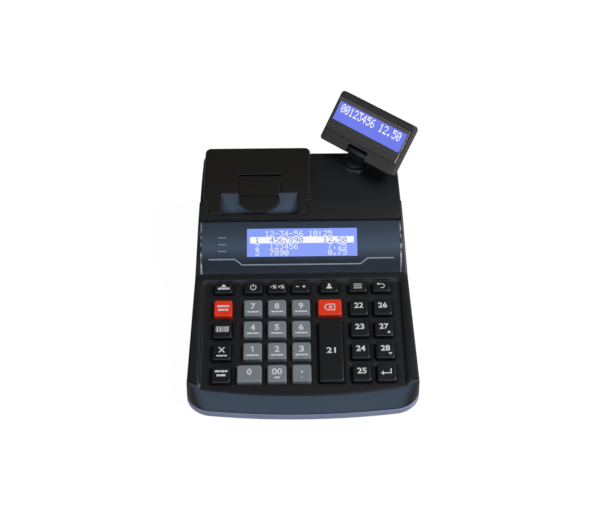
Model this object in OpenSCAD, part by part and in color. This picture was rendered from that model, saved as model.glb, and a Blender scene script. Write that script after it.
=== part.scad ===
// Compact ticket register: a two-part case with a sloping keyboard, an operator's display,
// a clamshell receipt printer at the rear left and a swivelling customer's display.
// Millimetres. X runs to the right, Y to the back, Z up. The origin is at table level,
// in the middle of the front edge.

/* [Case] */
// Depth from the middle of the front edge to the rear wall
case_depth = 231.5; // [229:0.5:240]
// Width at table level, at the front corners
case_width = 182.6; // [181:0.2:192]
// How much narrower the case is at the rear
rear_taper = 8.2; // [2:0.2:10]
// Lean of the side walls, in degrees
side_draft = 3.4; // [1:0.1:4]
// Radius of the bowed front edge, in plan
front_bow_r = 650; // [550:10:900]
// Radius of the two front corners, in plan
front_corner_r = 18; // [12:0.5:22]
// Radius of the two rear corners, in plan
rear_corner_r = 8; // [4:0.5:10]
// Wall thickness of both halves of the case
wall = 2.4; // [2:0.1:2.8]
// Height of the feet
foot_h = 3; // [2:0.25:4]
// Height of the seam between the two halves
seam_z = 11.4; // [10.6:0.2:13]
// Height of the chamfer under the case
base_chamfer = 3; // [1:0.25:4]
// Height of the sloping front band, from the seam to the key deck
band_rise = 10.6; // [9.5:0.1:12]
// Depth of the sloping front band
band_run = 11.4; // [9:0.1:13]
// Radius of the rounded rear top edge, and of the cover's hinge knuckles
rear_edge_r = 2.9; // [2.6:0.1:3.4]

/* [Key deck] */
// Slope of the key deck, in degrees
deck_slope = 8; // [6:0.5:10]
// Depth of the key deck below its rims
deck_sink = 1.5; // [1:0.1:2.5]
// Half of the key deck's width
deck_half_w = 80.3; // [79:0.1:82]
// Thickness of the key deck
deck_t = 2.5; // [2:0.1:3]
// Distance from the front of the deck to the middle of the first row
first_row = 17; // [15:0.1:18]
// Distance from the middle of the last row to the rear of the deck
last_row_gap = 8; // [7.5:0.1:11]
// Width of the rim behind the deck
rear_rim = 5.5; // [4.5:0.1:8]

/* [Keys] */
// Distance between key columns
col_pitch = 19.2; // [18:0.1:19.4]
// Distance between key rows
row_pitch = 19.2; // [18.5:0.1:20]
// Distance from the fourth row to the row of small keys
small_row_pitch = 18.7; // [18:0.1:20]
// Side of a square key
key_w = 14.9; // [13:0.1:15.2]
// Width of a wide key
wide_key_w = 19.3; // [17:0.1:20]
// Depth of a small key, front to back
small_key_d = 9.7; // [8:0.1:11]
// Height of the key tops above the deck
key_rise = 4; // [3:0.1:5]
// Extra gap beside the left column
left_gap = 4.8; // [3:0.1:5.4]
// Extra gap on each side of the wide column
wide_gap = 1.8; // [1:0.1:2.4]
// Place of the middle figure column across the case
figure_x = -20.1; // [-21:0.1:-19]
// Clearance round a key in its hole
key_clear = 0.35; // [0.2:0.05:0.5]
// Width of the flange that holds a key under the deck
key_flange = 1.2; // [0.9:0.1:1.5]
// Thickness of that flange
key_flange_t = 1; // [0.8:0.1:1.2]
// Height of the rubber domes under the keys
dome_h = 2.4; // [2.2:0.1:3]
// Radius of the rubber domes
dome_r = 3.5; // [2.5:0.1:4]
// Thickness of the rubber sheet that carries the domes
mat_t = 0.8; // [0.6:0.1:1]

/* [Operator display] */
// Length of the curved lens along its chord
lens_chord = 46.4; // [45:0.1:49]
// Slope of the lens's chord, in degrees
lens_slope = 27.9; // [25:0.1:30]
// Radius of the lens's curve
lens_r = 92; // [84:1:120]
// Width of the lens
lens_w = 166.6; // [165:0.1:168]
// Thickness of the lens
lens_t = 2.5; // [2:0.1:2.8]
// Width of the operator's display module
lcd_w = 97; // [90:1:104]
// Depth of the operator's display module, along the lens
lcd_d = 29; // [26:0.5:30]
// Distance of the display's middle up from the middle of the lens
lcd_up = 4; // [2:0.25:4.5]
// Thickness of the operator's display module
lcd_t = 4; // [3:0.1:5]

/* [Rear] */
// Radius of the convex top, front to back
crown_r = 205; // [195:1:230]
// Distance from the lens's upper edge to the crown's highest line
crown_run = 70; // [66:1:74]
// Distance from the lens's upper edge to the step down to the rear deck
step_run = 16.4; // [15:0.1:18]
// Height of that step
step_drop = 6.5; // [6:0.1:7]

/* [Printer] */
// Place of the paper's middle across the case
paper_x = -34.4; // [-36:0.1:-34]
// Width of the paper
paper_w = 57; // [55:0.5:57.5]
// Distance from the full paper roll to the case's rear wall
roll_rear_room = 12.3; // [12:0.1:16]
// Distance from the top of the full paper roll to the cover's hinge, in height
roll_top_room = 7.8; // [7.5:0.1:12]
// Radius of the hole in the paper roll
roll_bore_r = 6; // [5:0.5:8]
// Width of the chute in the cover
chute_w = 64; // [64:0.1:66]
// Cover's overhang on the left of the chute
cover_left_w = 15.1; // [14:0.1:15.5]
// Cover's overhang on the right of the chute
cover_right_w = 11.4; // [11:0.1:12.5]
// Width of the cover's side lands that stop at the rear deck's step
cover_land_w = 5; // [4.5:0.1:5.4]
// Length of the cover's front cheeks, ahead of the step
cheek_run = 11.1; // [10.5:0.1:11.5]
// Wall thickness of the cover
cover_wall = 2; // [1.6:0.1:2.2]
// Radius of the cover's two rear corners, in plan
cover_corner_r = 4; // [2:0.5:5]
// Bevel along the cover's two long top edges
cover_bevel = 2; // [1:0.25:2]
// Gap between the cover and the rear deck
cover_gap = 0.3; // [0.3:0.05:0.5]
// Slope of the paper chute, in degrees
chute_slope = 47; // [44:0.5:50]
// Distance from the step to the top edge of the chute
chute_top_run = 6; // [5.5:0.1:7]
// Distance that the chute runs ahead of its top edge
chute_run = 11.2; // [10.5:0.1:11.5]
// Radius of the platen roller
platen_r = 5; // [4.5:0.1:5]
// Distance of the platen's axis ahead of the step
platen_run = 2.4; // [2:0.1:3]
// Height of the platen's axis
platen_z = 46.5; // [46:0.1:47]
// Radius of the platen's steel shaft
shaft_r = 1.5; // [1.2:0.1:2]
// Gear module, pitch diameter over the number of teeth
gear_module = 0.6; // [0.56:0.01:0.62]
// Width of the gear teeth, across
gear_w = 2.8; // [2:0.1:2.8]
// Radius of the motor's can
motor_r = 7; // [6:0.1:7]
// Length of the motor's can
motor_len = 14; // [10:0.5:18]

/* [Release lever] */
// Width of the lever
lever_w = 35.2; // [32:0.1:38]
// Distance from the step to the front of the lever's pad
lever_front_run = 1.9; // [1.5:0.1:2.5]
// Distance from the step to the rear of the lever's pad
lever_rear_run = 24.6; // [24:0.1:26]
// How far the half-moon tongue reaches ahead of the step
tongue_run = 9; // [7:0.1:9.2]
// Thickness of the lever
lever_t = 1.8; // [1.5:0.1:2]
// Distance from the step to the lever's pivot
lever_pivot_run = 23.5; // [23:0.1:23.6]
// Height of the lever's pivot under the crown
lever_pivot_drop = 3.6; // [3.5:0.1:4]
// Radius of the lever's pin
lever_pin_r = 1.1; // [1:0.05:1.2]

/* [Customer display] */
// Place of the swivel axis across the case
swivel_x = 48; // [48:0.1:49]
// Distance from the swivel axis to the rear wall
swivel_rear = 12.5; // [12.4:0.1:14]
// Radius of the neck's round base
swivel_r = 9.5; // [9:0.1:10]
// Height of the round seat's top
seat_z = 66.3; // [66.1:0.1:66.6]
// Height of the tilt axis
tilt_z = 77.7; // [77.5:0.1:80]
// Radius of the neck's barrel
barrel_r = 4; // [3.6:0.1:4.2]
// Length of the neck's barrel
barrel_len = 19; // [15:0.1:19.2]
// How far the barrel and the head stand to the side of the swivel axis
head_shift = 3; // [0:0.25:3.5]
// Radius of the hinge pin in the barrel
tilt_pin_r = 1.25; // [1:0.05:1.5]
// Turn of the display about the swivel axis, in degrees
rest_swivel = -39; // [-60:1:0]
// Lean of the display's face back from upright, in degrees
rest_lean = 45; // [30:1:50]
// Width of the display's head
head_w = 75; // [73:0.1:76]
// Height of the head above the tilt axis
head_up = 42; // [41.5:0.1:43]
// Height of the head below the tilt axis
head_down = 3.5; // [3:0.1:4]
// Thickness of the front shell
head_front_t = 5.5; // [5.2:0.1:6.5]
// Thickness of the rear shell
head_rear_t = 7.5; // [6.5:0.1:8]
// Chamfer round the back of the rear shell
head_chamfer = 3.5; // [2:0.1:4]
// Wall thickness of the two shells
head_wall = 1.6; // [1.2:0.1:1.8]
// Width of the customer's lens
head_lens_w = 73.5; // [71:0.1:73.8]
// Height of the customer's lens
head_lens_h = 29; // [26:0.1:30]
// Height of the lens's lower edge above the tilt axis
head_lens_v = 6.2; // [6.2:0.1:7]
// Thickness of the customer's lens
head_lens_t = 1.5; // [1.2:0.1:1.8]

/* [Hidden] */
// Clearances and small sizes
cut = 1;
fit = 0.1;
slip = 0.3;
screw_r = 1.2;
screw_head_r = 2.8;
screw_head_h = 2;
boss_r = 3.6;
board_t = 1.6;
lip_t = 1.2;
lip_h = 2;
lip_gap = 0.2;
big = 400;

// Case, in plan
half_w = case_width/2;
corner_x = half_w - front_corner_r;
corner_y = front_bow_r - sqrt(pow(front_bow_r - front_corner_r, 2) - corner_x*corner_x);
taper = atan(rear_taper/2/(case_depth - corner_y));
rear_half_w = half_w - rear_taper/2;
rear_corner = [rear_half_w - rear_corner_r, case_depth - rear_corner_r];
corner_start = asin(corner_x/(front_bow_r - front_corner_r)) - 90;
corner_push = 0.05;

// Case, from the side
deck_y = band_run;
deck_z = seam_z + band_rise;
deck_len = first_row + 3*row_pitch + small_row_pitch + last_row_gap;
rim_len = deck_len + rear_rim;
deck_dir = [cos(deck_slope), sin(deck_slope)];
deck_up = [-sin(deck_slope), cos(deck_slope)];
lens_foot = [deck_y, deck_z] + rim_len*deck_dir + deck_sink*deck_up;
lens_head = lens_foot + lens_chord*[cos(lens_slope), sin(lens_slope)];
lens_drop = sqrt(lens_r*lens_r - pow(lens_chord/2, 2));
lens_c = (lens_foot + lens_head)/2 + lens_drop*[sin(lens_slope), -cos(lens_slope)];
lens_a0 = atan2(lens_foot[1] - lens_c[1], lens_foot[0] - lens_c[0]);
lens_a1 = atan2(lens_head[1] - lens_c[1], lens_head[0] - lens_c[0]);
lens_mid = (lens_a0 + lens_a1)/2;
seat_a = 0.15;
crown_c = [lens_head[0] + crown_run, lens_head[1] - sqrt(crown_r*crown_r - crown_run*crown_run)];
rear_r = crown_r - step_drop;
step_y = lens_head[0] + step_run;
hinge_y = case_depth - rear_edge_r;
hinge_z = crown_height(rear_r, hinge_y) - rear_edge_r;

// Cover and chute
cover_x0 = paper_x - chute_w/2 - cover_left_w;
cover_x1 = paper_x + chute_w/2 + cover_right_w;
tongue_x0 = cover_x0 + cover_land_w;
tongue_x1 = cover_x1 - cover_land_w;
front_y = step_y - cheek_run;
notch_gap = 0.6;
cover_front_gap = 0.5;
chute_top_y = step_y + chute_top_run;
chute_foot_y = chute_top_y - chute_run;
chute_top_z = crown_height(crown_r, chute_top_y);
chute_foot_z = chute_top_z - chute_run*tan(chute_slope);
cover_base_r = rear_r + cover_gap;
case_h = crown_height(crown_r, crown_c[0]) + 20;

// Printer: axes in the Y-Z plane
platen = [step_y - platen_run, platen_z];
hinge = [hinge_y, hinge_z];
toward_hinge = (hinge - platen)/norm(hinge - platen);
lift_dir = [-toward_hinge[1], toward_hinge[0]];
lean = atan2(toward_hinge[1], toward_hinge[0]);
platen_teeth = 18;
idler_teeth = 36;
pinion_teeth = 12;
pinion_below = 12;
idler = platen - gear_module*(platen_teeth + idler_teeth)/2*lift_dir;
pinion_dist = gear_module*(idler_teeth + pinion_teeth)/2;
pinion = idler - pinion_dist*[cos(pinion_below), sin(pinion_below)];
head_plate_t = 2.5;
head_plate_h = 13;
stem_drop = 3;
motor_gap = 1;
frame_wall_t = 2;
roll_gap = 1.2;
tub_t = 1.6;
tub_y0 = pinion[0] + motor_r + motor_gap;
tub_z0 = foot_h + wall + 1;
tub_side = tub_t + roll_gap;
// The full roll fills the bay's depth or its height, whichever is less
roll_r = min(case_depth - roll_rear_room - tub_y0 - tub_side, hinge_z - roll_top_room - tub_z0 - tub_side)/2;
tub_r = roll_r + roll_gap;
roll_z = tub_z0 + tub_t + tub_r;
roll_behind = sqrt(max(0, pow(roll_r + platen_r + slip, 2) - pow(platen_z - roll_z, 2)));
// It lies behind the motor and behind the platen
roll_y = max(tub_y0 + tub_t + tub_r, platen[0] + roll_behind);
plate_t = 2.4;
side_gap = 0.75;
plate_in = paper_w/2 + side_gap;
plate_out = plate_in + plate_t;
arm_out = plate_out - 0.05;
arm_in = arm_out - plate_t;
gear_x0 = paper_x + plate_out + slip;
frame_front_y = pinion[0] - motor_r - motor_gap - frame_wall_t;
frame_top_z = 53;
shoulder_y = step_y - 16.5;
shoulder_z = 46;
plate_rear_z = 48;
platen_room = 9;
cradle_in = 7;
stem_pitch = 20;
stem_r = 1.6;
tub_foot = 8;
arm_r = 3.6;
bay_x0 = paper_x - chute_w/2 - cover_wall - 0.6;
bay_x1 = gear_x0 + gear_w + 1.6;
bay_gap = 0.6;
bay_rear_y = roll_y + tub_r + tub_t + bay_gap;

// Lever
lever_pivot = [step_y + lever_pivot_run, crown_height(crown_r, step_y + lever_pivot_run) - lever_pivot_drop];
lever_side_gap = 0.4;
lever_swing_gap = 1.7;
lug_t = 2.4;
lug_r = 2.3;
lever_lug_half = 1.6;
lever_cut = max(lever_t + 0.6, cover_wall + 0.2);
lever_hole_y = step_y + lever_rear_run + lever_swing_gap;
lever_x0 = paper_x - lever_w/2;
lever_x1 = paper_x + lever_w/2;

// Customer display
swivel_y = case_depth - swivel_rear;
seat_r = swivel_r + 2;
neck_hole_r = 6.3;
neck_shaft_r = 6;
barb_r = 7.3;
barb_w = 5;
neck_disc_h = 2;
stem_w = 14;
stem_t = 7;
notch_w = barrel_len + 1;
notch_v = barrel_r + 0.8;
head_lcd_w = 69;
head_lcd_h = 17;
head_lcd_t = 2;
head_lcd_v = head_lens_v + head_lens_h - 10.5;
side_hollow_w = 16;
notch_rim = 2;

// Hinge knuckles of the cover
knuckle_w = 11;
knuckle_slot = 12;
knuckle_x = [paper_x - 30, paper_x + 26.5];
trunnion_r = 1.5;
trunnion_len = 2;

// Keypad
key_bottom = -deck_t - key_flange_t;
mat_top = key_bottom - dome_h;
board_top = mat_top - mat_t;
boss_in = 9.4;
boss_back = 7.4;
board_gap = 1;
board_half_w = half_w - boss_in - boss_r - board_gap;
board_front = first_row - 10;
board_over = 7;
post_r = 1.6;
function row_y(row) = row < 4 ? first_row + row*row_pitch : first_row + 3*row_pitch + small_row_pitch;
x_left = figure_x - 2*col_pitch - left_gap;
x_wide = figure_x + col_pitch + key_w/2 + col_pitch - key_w + wide_gap + wide_key_w/2;
x_dept1 = x_wide + wide_key_w/2 + wide_gap + col_pitch - key_w + key_w/2;
col_x = [x_left, figure_x - col_pitch, figure_x, figure_x + col_pitch, x_wide, x_dept1, x_dept1 + col_pitch];
post_x = [(col_x[0] + col_x[1])/2, (x_wide + wide_key_w/2 + x_dept1 - key_w/2)/2];
board_len = row_y(4) - board_front + board_over;

// Keys: name, X of the middle, distance up the deck, width, depth, colour
key_black = "#2b2c2e";
key_grey = "#70787f";
key_red = "#e43d1f";
dept_key_d = 2*row_pitch + key_w;
zero_shift = (wide_key_w - key_w)/2;
KEYS = [
    ["key_feed", col_x[0], row_y(4), key_w, small_key_d, key_black],
    ["key_power", col_x[1], row_y(4), key_w, small_key_d, key_black],
    ["key_percent", col_x[2], row_y(4), key_w, small_key_d, key_black],
    ["key_minus", col_x[3], row_y(4), key_w, small_key_d, key_black],
    ["key_clerk", col_x[4], row_y(4), key_w, small_key_d, key_black],
    ["key_menu", col_x[5], row_y(4), key_w, small_key_d, key_black],
    ["key_return", col_x[6], row_y(4), key_w, small_key_d, key_black],
    ["key_void", col_x[0], row_y(3), key_w, key_w, key_red],
    ["key_7", col_x[1], row_y(3), key_w, key_w, key_grey],
    ["key_8", col_x[2], row_y(3), key_w, key_w, key_grey],
    ["key_9", col_x[3], row_y(3), key_w, key_w, key_grey],
    ["key_clear", col_x[4], row_y(3), wide_key_w, key_w, key_red],
    ["key_t2", col_x[5], row_y(3), key_w, key_w, key_black],
    ["key_t6", col_x[6], row_y(3), key_w, key_w, key_black],
    ["key_code", col_x[0], row_y(2), key_w, key_w, key_black],
    ["key_4", col_x[1], row_y(2), key_w, key_w, key_grey],
    ["key_5", col_x[2], row_y(2), key_w, key_w, key_grey],
    ["key_6", col_x[3], row_y(2), key_w, key_w, key_grey],
    ["key_t3", col_x[5], row_y(2), key_w, key_w, key_black],
    ["key_t7", col_x[6], row_y(2), key_w, key_w, key_black],
    ["key_times", col_x[0], row_y(1), key_w, key_w, key_black],
    ["key_1", col_x[1], row_y(1), key_w, key_w, key_grey],
    ["key_2", col_x[2], row_y(1), key_w, key_w, key_grey],
    ["key_3", col_x[3], row_y(1), key_w, key_w, key_grey],
    ["key_t4", col_x[5], row_y(1), key_w, key_w, key_black],
    ["key_t8", col_x[6], row_y(1), key_w, key_w, key_black],
    ["key_subtotal", col_x[0], row_y(0), key_w, key_w, key_black],
    ["key_0", col_x[1] - zero_shift, row_y(0), wide_key_w, key_w, key_grey],
    ["key_00", col_x[2], row_y(0), key_w, key_w, key_grey],
    ["key_point", col_x[3], row_y(0), key_w, key_w, key_grey],
    ["key_t5", col_x[5], row_y(0), key_w, key_w, key_black],
    ["key_enter", col_x[6], row_y(0), key_w, key_w, key_black],
    ["key_t1", col_x[4], row_y(1), wide_key_w, dept_key_d, key_black]
];
KEY_NAMES = [for (k = KEYS) k[0]];

// Height of the crowned top of radius r at distance y from the front
function crown_height(r, y) = crown_c[1] + sqrt(r*r - pow(y - crown_c[0], 2));
function crown_arc(r, y0, y1, n) = [for (i = [0:n]) [y0 + (y1 - y0)*i/n, crown_height(r, y0 + (y1 - y0)*i/n)]];
// Points on an arc round c, from angle a0 to angle a1
function arc(c, r, a0, a1, n) = [for (i = [0:n]) c + r*[cos(a0 + (a1 - a0)*i/n), sin(a0 + (a1 - a0)*i/n)]];
function flip(points) = [for (i = [len(points) - 1:-1:0]) [-points[i][0], points[i][1]]];
// Height of a plane parallel to the deck, lifted by n along the deck's normal
function deck_plane(y, n) = deck_z + (y - deck_y)*tan(deck_slope) + n/cos(deck_slope);

// Draws a Y-Z outline as a solid from x0 to x1
module across(x0, x1, points) {
    translate([x0, 0, 0]) rotate([90, 0, 90]) linear_extrude(x1 - x0) polygon(points);
}

// A round bar along X whose axis is at the Y-Z point p
module rod(x0, x1, p, r) {
    translate([x0, p[0], p[1]]) rotate([0, 90, 0]) cylinder(h = x1 - x0, r = r, $fn = 48);
}

// A block given by its lowest and highest corners
module block(low, high) {
    translate(low) cube(high - low);
}

// Puts its children on the key deck: X across, Y up the slope from the deck's front, Z off the deck
module on_deck() {
    translate([0, deck_y, deck_z]) rotate([deck_slope, 0, 0]) children();
}

// The case's outline in plan, moved inwards by inset
module plan(inset) {
    start_r = front_corner_r - inset + corner_push;
    first = [[corner_x, corner_y] + start_r*[cos(corner_start), sin(corner_start)]];
    front = arc([corner_x, corner_y], front_corner_r - inset, corner_start + 8, taper, 8);
    rear = arc(rear_corner, rear_corner_r - inset, taper, 90, 6);
    half = concat([[first[0][0], -cut]], first, front, rear);
    polygon(concat(half, flip(half)));
}

// The bowed front edge: upright up to the seam, chamfered below, leaning back above
module front_bow(inset) {
    r = front_bow_r - inset;
    lean_back = band_run/band_rise;
    top = 90;
    translate([0, front_bow_r, 0]) rotate_extrude($fn = 720)
        polygon([[0, foot_h], [r - base_chamfer, foot_h], [r, foot_h + base_chamfer], [r, seam_z],
                 [r - (top - seam_z)*lean_back, top], [0, top]]);
}

// The leaning sides: what lies outside them
module outside(inset) {
    for (side = [0, 1]) {
        mirror([side, 0, 0]) translate([half_w - inset/cos(side_draft), corner_y, 0])
            rotate([0, 0, taper]) rotate([0, -side_draft, 0])
                translate([0, -big, -big/2]) cube([big, 2*big, big]);
    }
}

// A solid of the case's form under a Y-Z outline
module case_form(inset, points) {
    difference() {
        intersection() {
            across(-half_w, half_w, points);
            linear_extrude(case_h) plan(inset);
            front_bow(inset);
        }
        outside(inset);
    }
}

// Outline of the top case's outside
top_outline = concat(
    [[-cut, seam_z], [-cut, deck_plane(-cut, deck_sink)], lens_foot, lens_head],
    crown_arc(crown_r, lens_head[0] + 4, step_y, 4),
    crown_arc(rear_r, step_y, hinge_y, 8),
    arc(hinge, rear_edge_r, 75, 0, 5),
    [[case_depth, seam_z]]);

// Outline of the hollow inside it
hollow_r = lens_r - lens_t - fit - wall;
hollow_start = 0.6;
hollow_outline = concat(
    [[-cut, seam_z - cut], [-cut, deck_plane(-cut, -deck_t)],
     [lens_foot[0] + hollow_start, deck_plane(lens_foot[0] + hollow_start, -deck_t)]],
    arc(lens_c, hollow_r, lens_a0 - 2, lens_a1, 8),
    crown_arc(crown_r - wall, lens_head[0] + 4, step_y - wall, 3),
    crown_arc(rear_r - wall, step_y - wall, case_depth - wall, 8),
    [[case_depth - wall, seam_z - cut]]);

module front_boss_places() {
    for (side = [-1, 1]) {
        translate([side*(half_w - boss_in), corner_y + boss_back, 0]) children();
    }
}

module rear_boss_places() {
    for (side = [-1, 1]) {
        translate([side*(rear_half_w - 9), case_depth - 12, 0]) children();
    }
}

foot_x = half_w - 24;
foot_rear_x = rear_half_w - 24;
foot_r = 6.5;
foot_front_y = 24;
foot_rear_gap = 18;
foot_sink = 0.6;

module foot_places() {
    for (side = [-1, 1]) {
        translate([side*foot_x, foot_front_y, 0]) children();
        translate([side*foot_rear_x, case_depth - foot_rear_gap, 0]) children();
    }
}

floor_z = foot_h + wall;
counterbore_z = foot_h + screw_head_h + 0.4;
main_x0 = 16;
main_x1 = 74;
main_y0 = 132;
main_z = 12;
main_y1 = case_depth - wall - 0.6;

module bottom_case() {
    base_outline = [[-cut, foot_h], [-cut, seam_z], [case_depth, seam_z], [case_depth, foot_h]];
    tray_outline = [[-cut, floor_z], [-cut, seam_z + cut], [case_depth, seam_z + cut], [case_depth, floor_z]];
    lip_outline = [[-cut, seam_z - cut], [-cut, seam_z + lip_h],
                   [case_depth - wall - lip_gap, seam_z + lip_h], [case_depth - wall - lip_gap, seam_z - cut]];
    color("#6f7993") difference() {
        union() {
            difference() {
                case_form(0, base_outline);
                case_form(wall, tray_outline);
            }
            difference() {
                case_form(wall + lip_gap, lip_outline);
                case_form(wall + lip_gap + lip_t,
                          [for (p = lip_outline) [p[0], p[1] < seam_z ? p[1] - cut : p[1] + cut]]);
                block([-half_w, case_depth - wall - 4, seam_z - 2*cut], [half_w, case_depth, seam_z + big/4]);
            }
            front_boss_places() floor_boss();
            rear_boss_places() floor_boss();
            for (x = [main_x0 + 4, main_x1 - 4], y = [main_y0 + 4, main_y1 - 22]) {
                translate([x, y, floor_z - 0.5]) cylinder(h = main_z - floor_z + 0.5, r = 3, $fn = 32);
            }
            for (x = [paper_x - 20, paper_x + 20], y = [roll_y - 12, roll_y + 12]) {
                block([x - 2, y - 2, floor_z - 0.5], [x + 2, y + 2, floor_z + 1]);
            }
        }
        front_boss_places() screw_hole();
        rear_boss_places() screw_hole();
        foot_places() translate([0, 0, foot_h - cut]) cylinder(h = cut + foot_sink, r = foot_r, $fn = 48);
    }
}

module floor_boss() {
    translate([0, 0, foot_h + 0.5]) cylinder(h = seam_z - foot_h - 0.5, r = boss_r, $fn = 48);
}

module screw_hole() {
    translate([0, 0, foot_h - cut]) {
        cylinder(h = counterbore_z - foot_h + cut, r = screw_head_r + fit, $fn = 48);
        cylinder(h = seam_z, r = screw_r + fit, $fn = 48);
    }
}

module key_hole(k) {
    w = k[3] + 2*key_clear;
    d = k[4] + 2*key_clear;
    on_deck() translate([k[1] - w/2, k[2] - d/2, -deck_t - cut]) cube([w, d, deck_t + 2*cut]);
}

lcd_side_border = 2.75;
lcd_edge_border = 1.75;
lcd_window_w = lcd_w - 2*lcd_side_border;
lcd_window_d = lcd_d - 2*lcd_edge_border;

module top_case() {
    lens_x = lens_w/2 + fit;
    color("#26282b") difference() {
        union() {
            difference() {
                case_form(0, top_outline);
                case_form(wall, hollow_outline);
            }
            // Bosses for the case screws
            intersection() {
                case_form(0.5, top_outline);
                union() {
                    front_boss_places() translate([0, 0, seam_z]) cylinder(h = big/4, r = boss_r, $fn = 48);
                    rear_boss_places() translate([0, 0, seam_z]) cylinder(h = big/4, r = boss_r, $fn = 48);
                }
            }
            // Round seat for the customer display
            translate([swivel_x, swivel_y, seat_z - 5]) cylinder(h = 5, r = seat_r, $fn = 96);
            // Blocks that hold the cover's trunnions
            intersection() {
                case_form(0.05, top_outline);
                for (x = knuckle_x, side = [-1, 1]) {
                    near = x + side*knuckle_slot/2;
                    far = near + side*(trunnion_len + 1);
                    block([min(near, far), hinge_y - 4, hinge_z - 5], [max(near, far), case_depth, seat_z]);
                }
            }
        }
        // Key deck
        on_deck() translate([-deck_half_w, -big/4, 0]) cube([2*deck_half_w, deck_len + big/4, big/4]);
        for (k = KEYS) key_hole(k);
        // Seat and window of the operator's display
        across(-lens_x, lens_x, concat(
            arc(lens_c, lens_r - lens_t - fit, lens_a0 + seat_a, lens_a1 - seat_a, 14),
            arc(lens_c, lens_r + 8, lens_a1 - seat_a, lens_a0 + seat_a, 1)));
        lcd_frame() translate([-lcd_window_w/2, -lcd_window_d/2, -2*cut]) cube([lcd_window_w, lcd_window_d, 6]);
        // Opening over the printer
        block([tongue_x0 - 0.3, front_y - notch_gap, hinge_z - 10], [tongue_x1 + 0.3, step_y + cut, big/4]);
        block([bay_x0, step_y - cut, hinge_z - 12], [bay_x1, bay_rear_y, big/4]);
        // Slots and bores for the cover's knuckles
        for (x = knuckle_x) {
            block([x - knuckle_slot/2, hinge_y - rear_edge_r - slip, hinge_z - rear_edge_r - slip],
                  [x + knuckle_slot/2, case_depth + cut, big/4]);
            rod(x - knuckle_slot/2 - trunnion_len, x + knuckle_slot/2 + trunnion_len, hinge, trunnion_r + fit);
        }
        // Hole for the neck
        translate([swivel_x, swivel_y, seat_z - 2*wall - 5]) cylinder(h = 20, r = neck_hole_r, $fn = 64);
        // Rear openings for the sockets
        for (s = SOCKETS) {
            block([s[0] - s[1]/2 - slip, case_depth - wall - 2*cut, main_z + board_t - slip],
                  [s[0] + s[1]/2 + slip, case_depth + cut, main_z + board_t + s[2] + slip]);
        }
        front_boss_places() translate([0, 0, seam_z - cut]) cylinder(h = 8 + cut, r = screw_r + 0.05, $fn = 48);
        rear_boss_places() translate([0, 0, seam_z - cut]) cylinder(h = 8 + cut, r = screw_r + 0.05, $fn = 48);
    }
}

// Sockets on the main board: X of the middle, width, height, cavity width, cavity height
SOCKETS = [
    [24, 15, 13, 11.6, 8],
    [44, 16, 13, 12, 8],
    [62, 9, 11, 0, 0]
];
socket_d = 14;
socket_cavity_d = 10;
socket_sill = 2.5;
jack_r = 2.75;
jack_pin_r = 1;
chip_runs = [18, 40];
chip_in = 8;
chip_w = 12;
chip_t = 2;

module display_lens() {
    outer = arc(lens_c, lens_r, lens_a0, lens_a1, 14);
    inner = arc(lens_c, lens_r - lens_t, lens_a1, lens_a0, 14);
    color("#3a4658", 0.6) across(-lens_w/2, lens_w/2, concat(outer, inner));
}

// Puts its children on the inside of the seat, in the middle of the window
module lcd_frame() {
    a = lens_mid - lcd_up/hollow_r*180/PI;
    p = lens_c + hollow_r*[cos(a), sin(a)];
    translate([0, p[0], p[1]]) rotate([a - 90, 0, 0]) children();
}

module operator_lcd() {
    sag = hollow_r - sqrt(hollow_r*hollow_r - lcd_d*lcd_d/4) + slip;
    color("#8291ff") lcd_frame() {
        translate([-lcd_w/2, -lcd_d/2, -sag - lcd_t]) cube([lcd_w, lcd_d, lcd_t]);
        translate([-lcd_window_w/2 + 0.5, -lcd_window_d/2 + 0.5, -sag - 0.5])
            cube([lcd_window_w - 1, lcd_window_d - 1, sag + 0.5]);
    }
}

module main_board() {
    color("#2d6b3f") block([main_x0, main_y0, main_z], [main_x1, main_y1, main_z + board_t]);
    color("#1c1c1e") for (s = SOCKETS) socket(s);
    color("#1c1c1e") for (run = chip_runs) {
        corner = [main_x0 + chip_in, main_y0 + run, main_z + board_t];
        block(corner, corner + [chip_w, chip_w, chip_t]);
    }
}

module socket(s) {
    z = main_z + board_t;
    rear = case_depth - 0.4;
    difference() {
        block([s[0] - s[1]/2, rear - socket_d, z], [s[0] + s[1]/2, rear, z + s[2]]);
        if (s[3] > 0) {
            block([s[0] - s[3]/2, rear - socket_cavity_d, z + socket_sill],
                  [s[0] + s[3]/2, rear + cut, z + socket_sill + s[4]]);
        } else {
            translate([s[0], rear + cut, z + s[2]/2]) rotate([90, 0, 0]) difference() {
                cylinder(h = socket_cavity_d + cut, r = jack_r, $fn = 48);
                translate([0, 0, cut + 0.5]) cylinder(h = socket_cavity_d, r = jack_pin_r, $fn = 32);
            }
        }
    }
}

module keypad_board() {
    color("#2d6b3f") on_deck() translate([-board_half_w, board_front, board_top - board_t])
        cube([2*board_half_w, board_len, board_t]);
    // Posts that hang the board from the deck
    color("#2d6b3f") on_deck() for (x = post_x, y = [row_y(1), row_y(3)]) {
        translate([x, y, board_top - 0.5]) cylinder(h = -deck_t - board_top + 0.5, r = post_r, $fn = 32);
    }
}

module keypad_mat() {
    color("#b9bcc0") on_deck() difference() {
        union() {
            translate([-board_half_w, board_front, board_top])
                cube([2*board_half_w, board_len, mat_t]);
            for (k = KEYS) {
                translate([k[1], k[2], mat_top - 0.3]) cylinder(h = dome_h + 0.3, r = dome_r, $fn = 32);
            }
        }
        for (x = post_x, y = [row_y(1), row_y(3)]) {
            translate([x, y, board_top - cut]) cylinder(h = mat_t + 2*cut, r = post_r + slip, $fn = 32);
        }
    }
}

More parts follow.
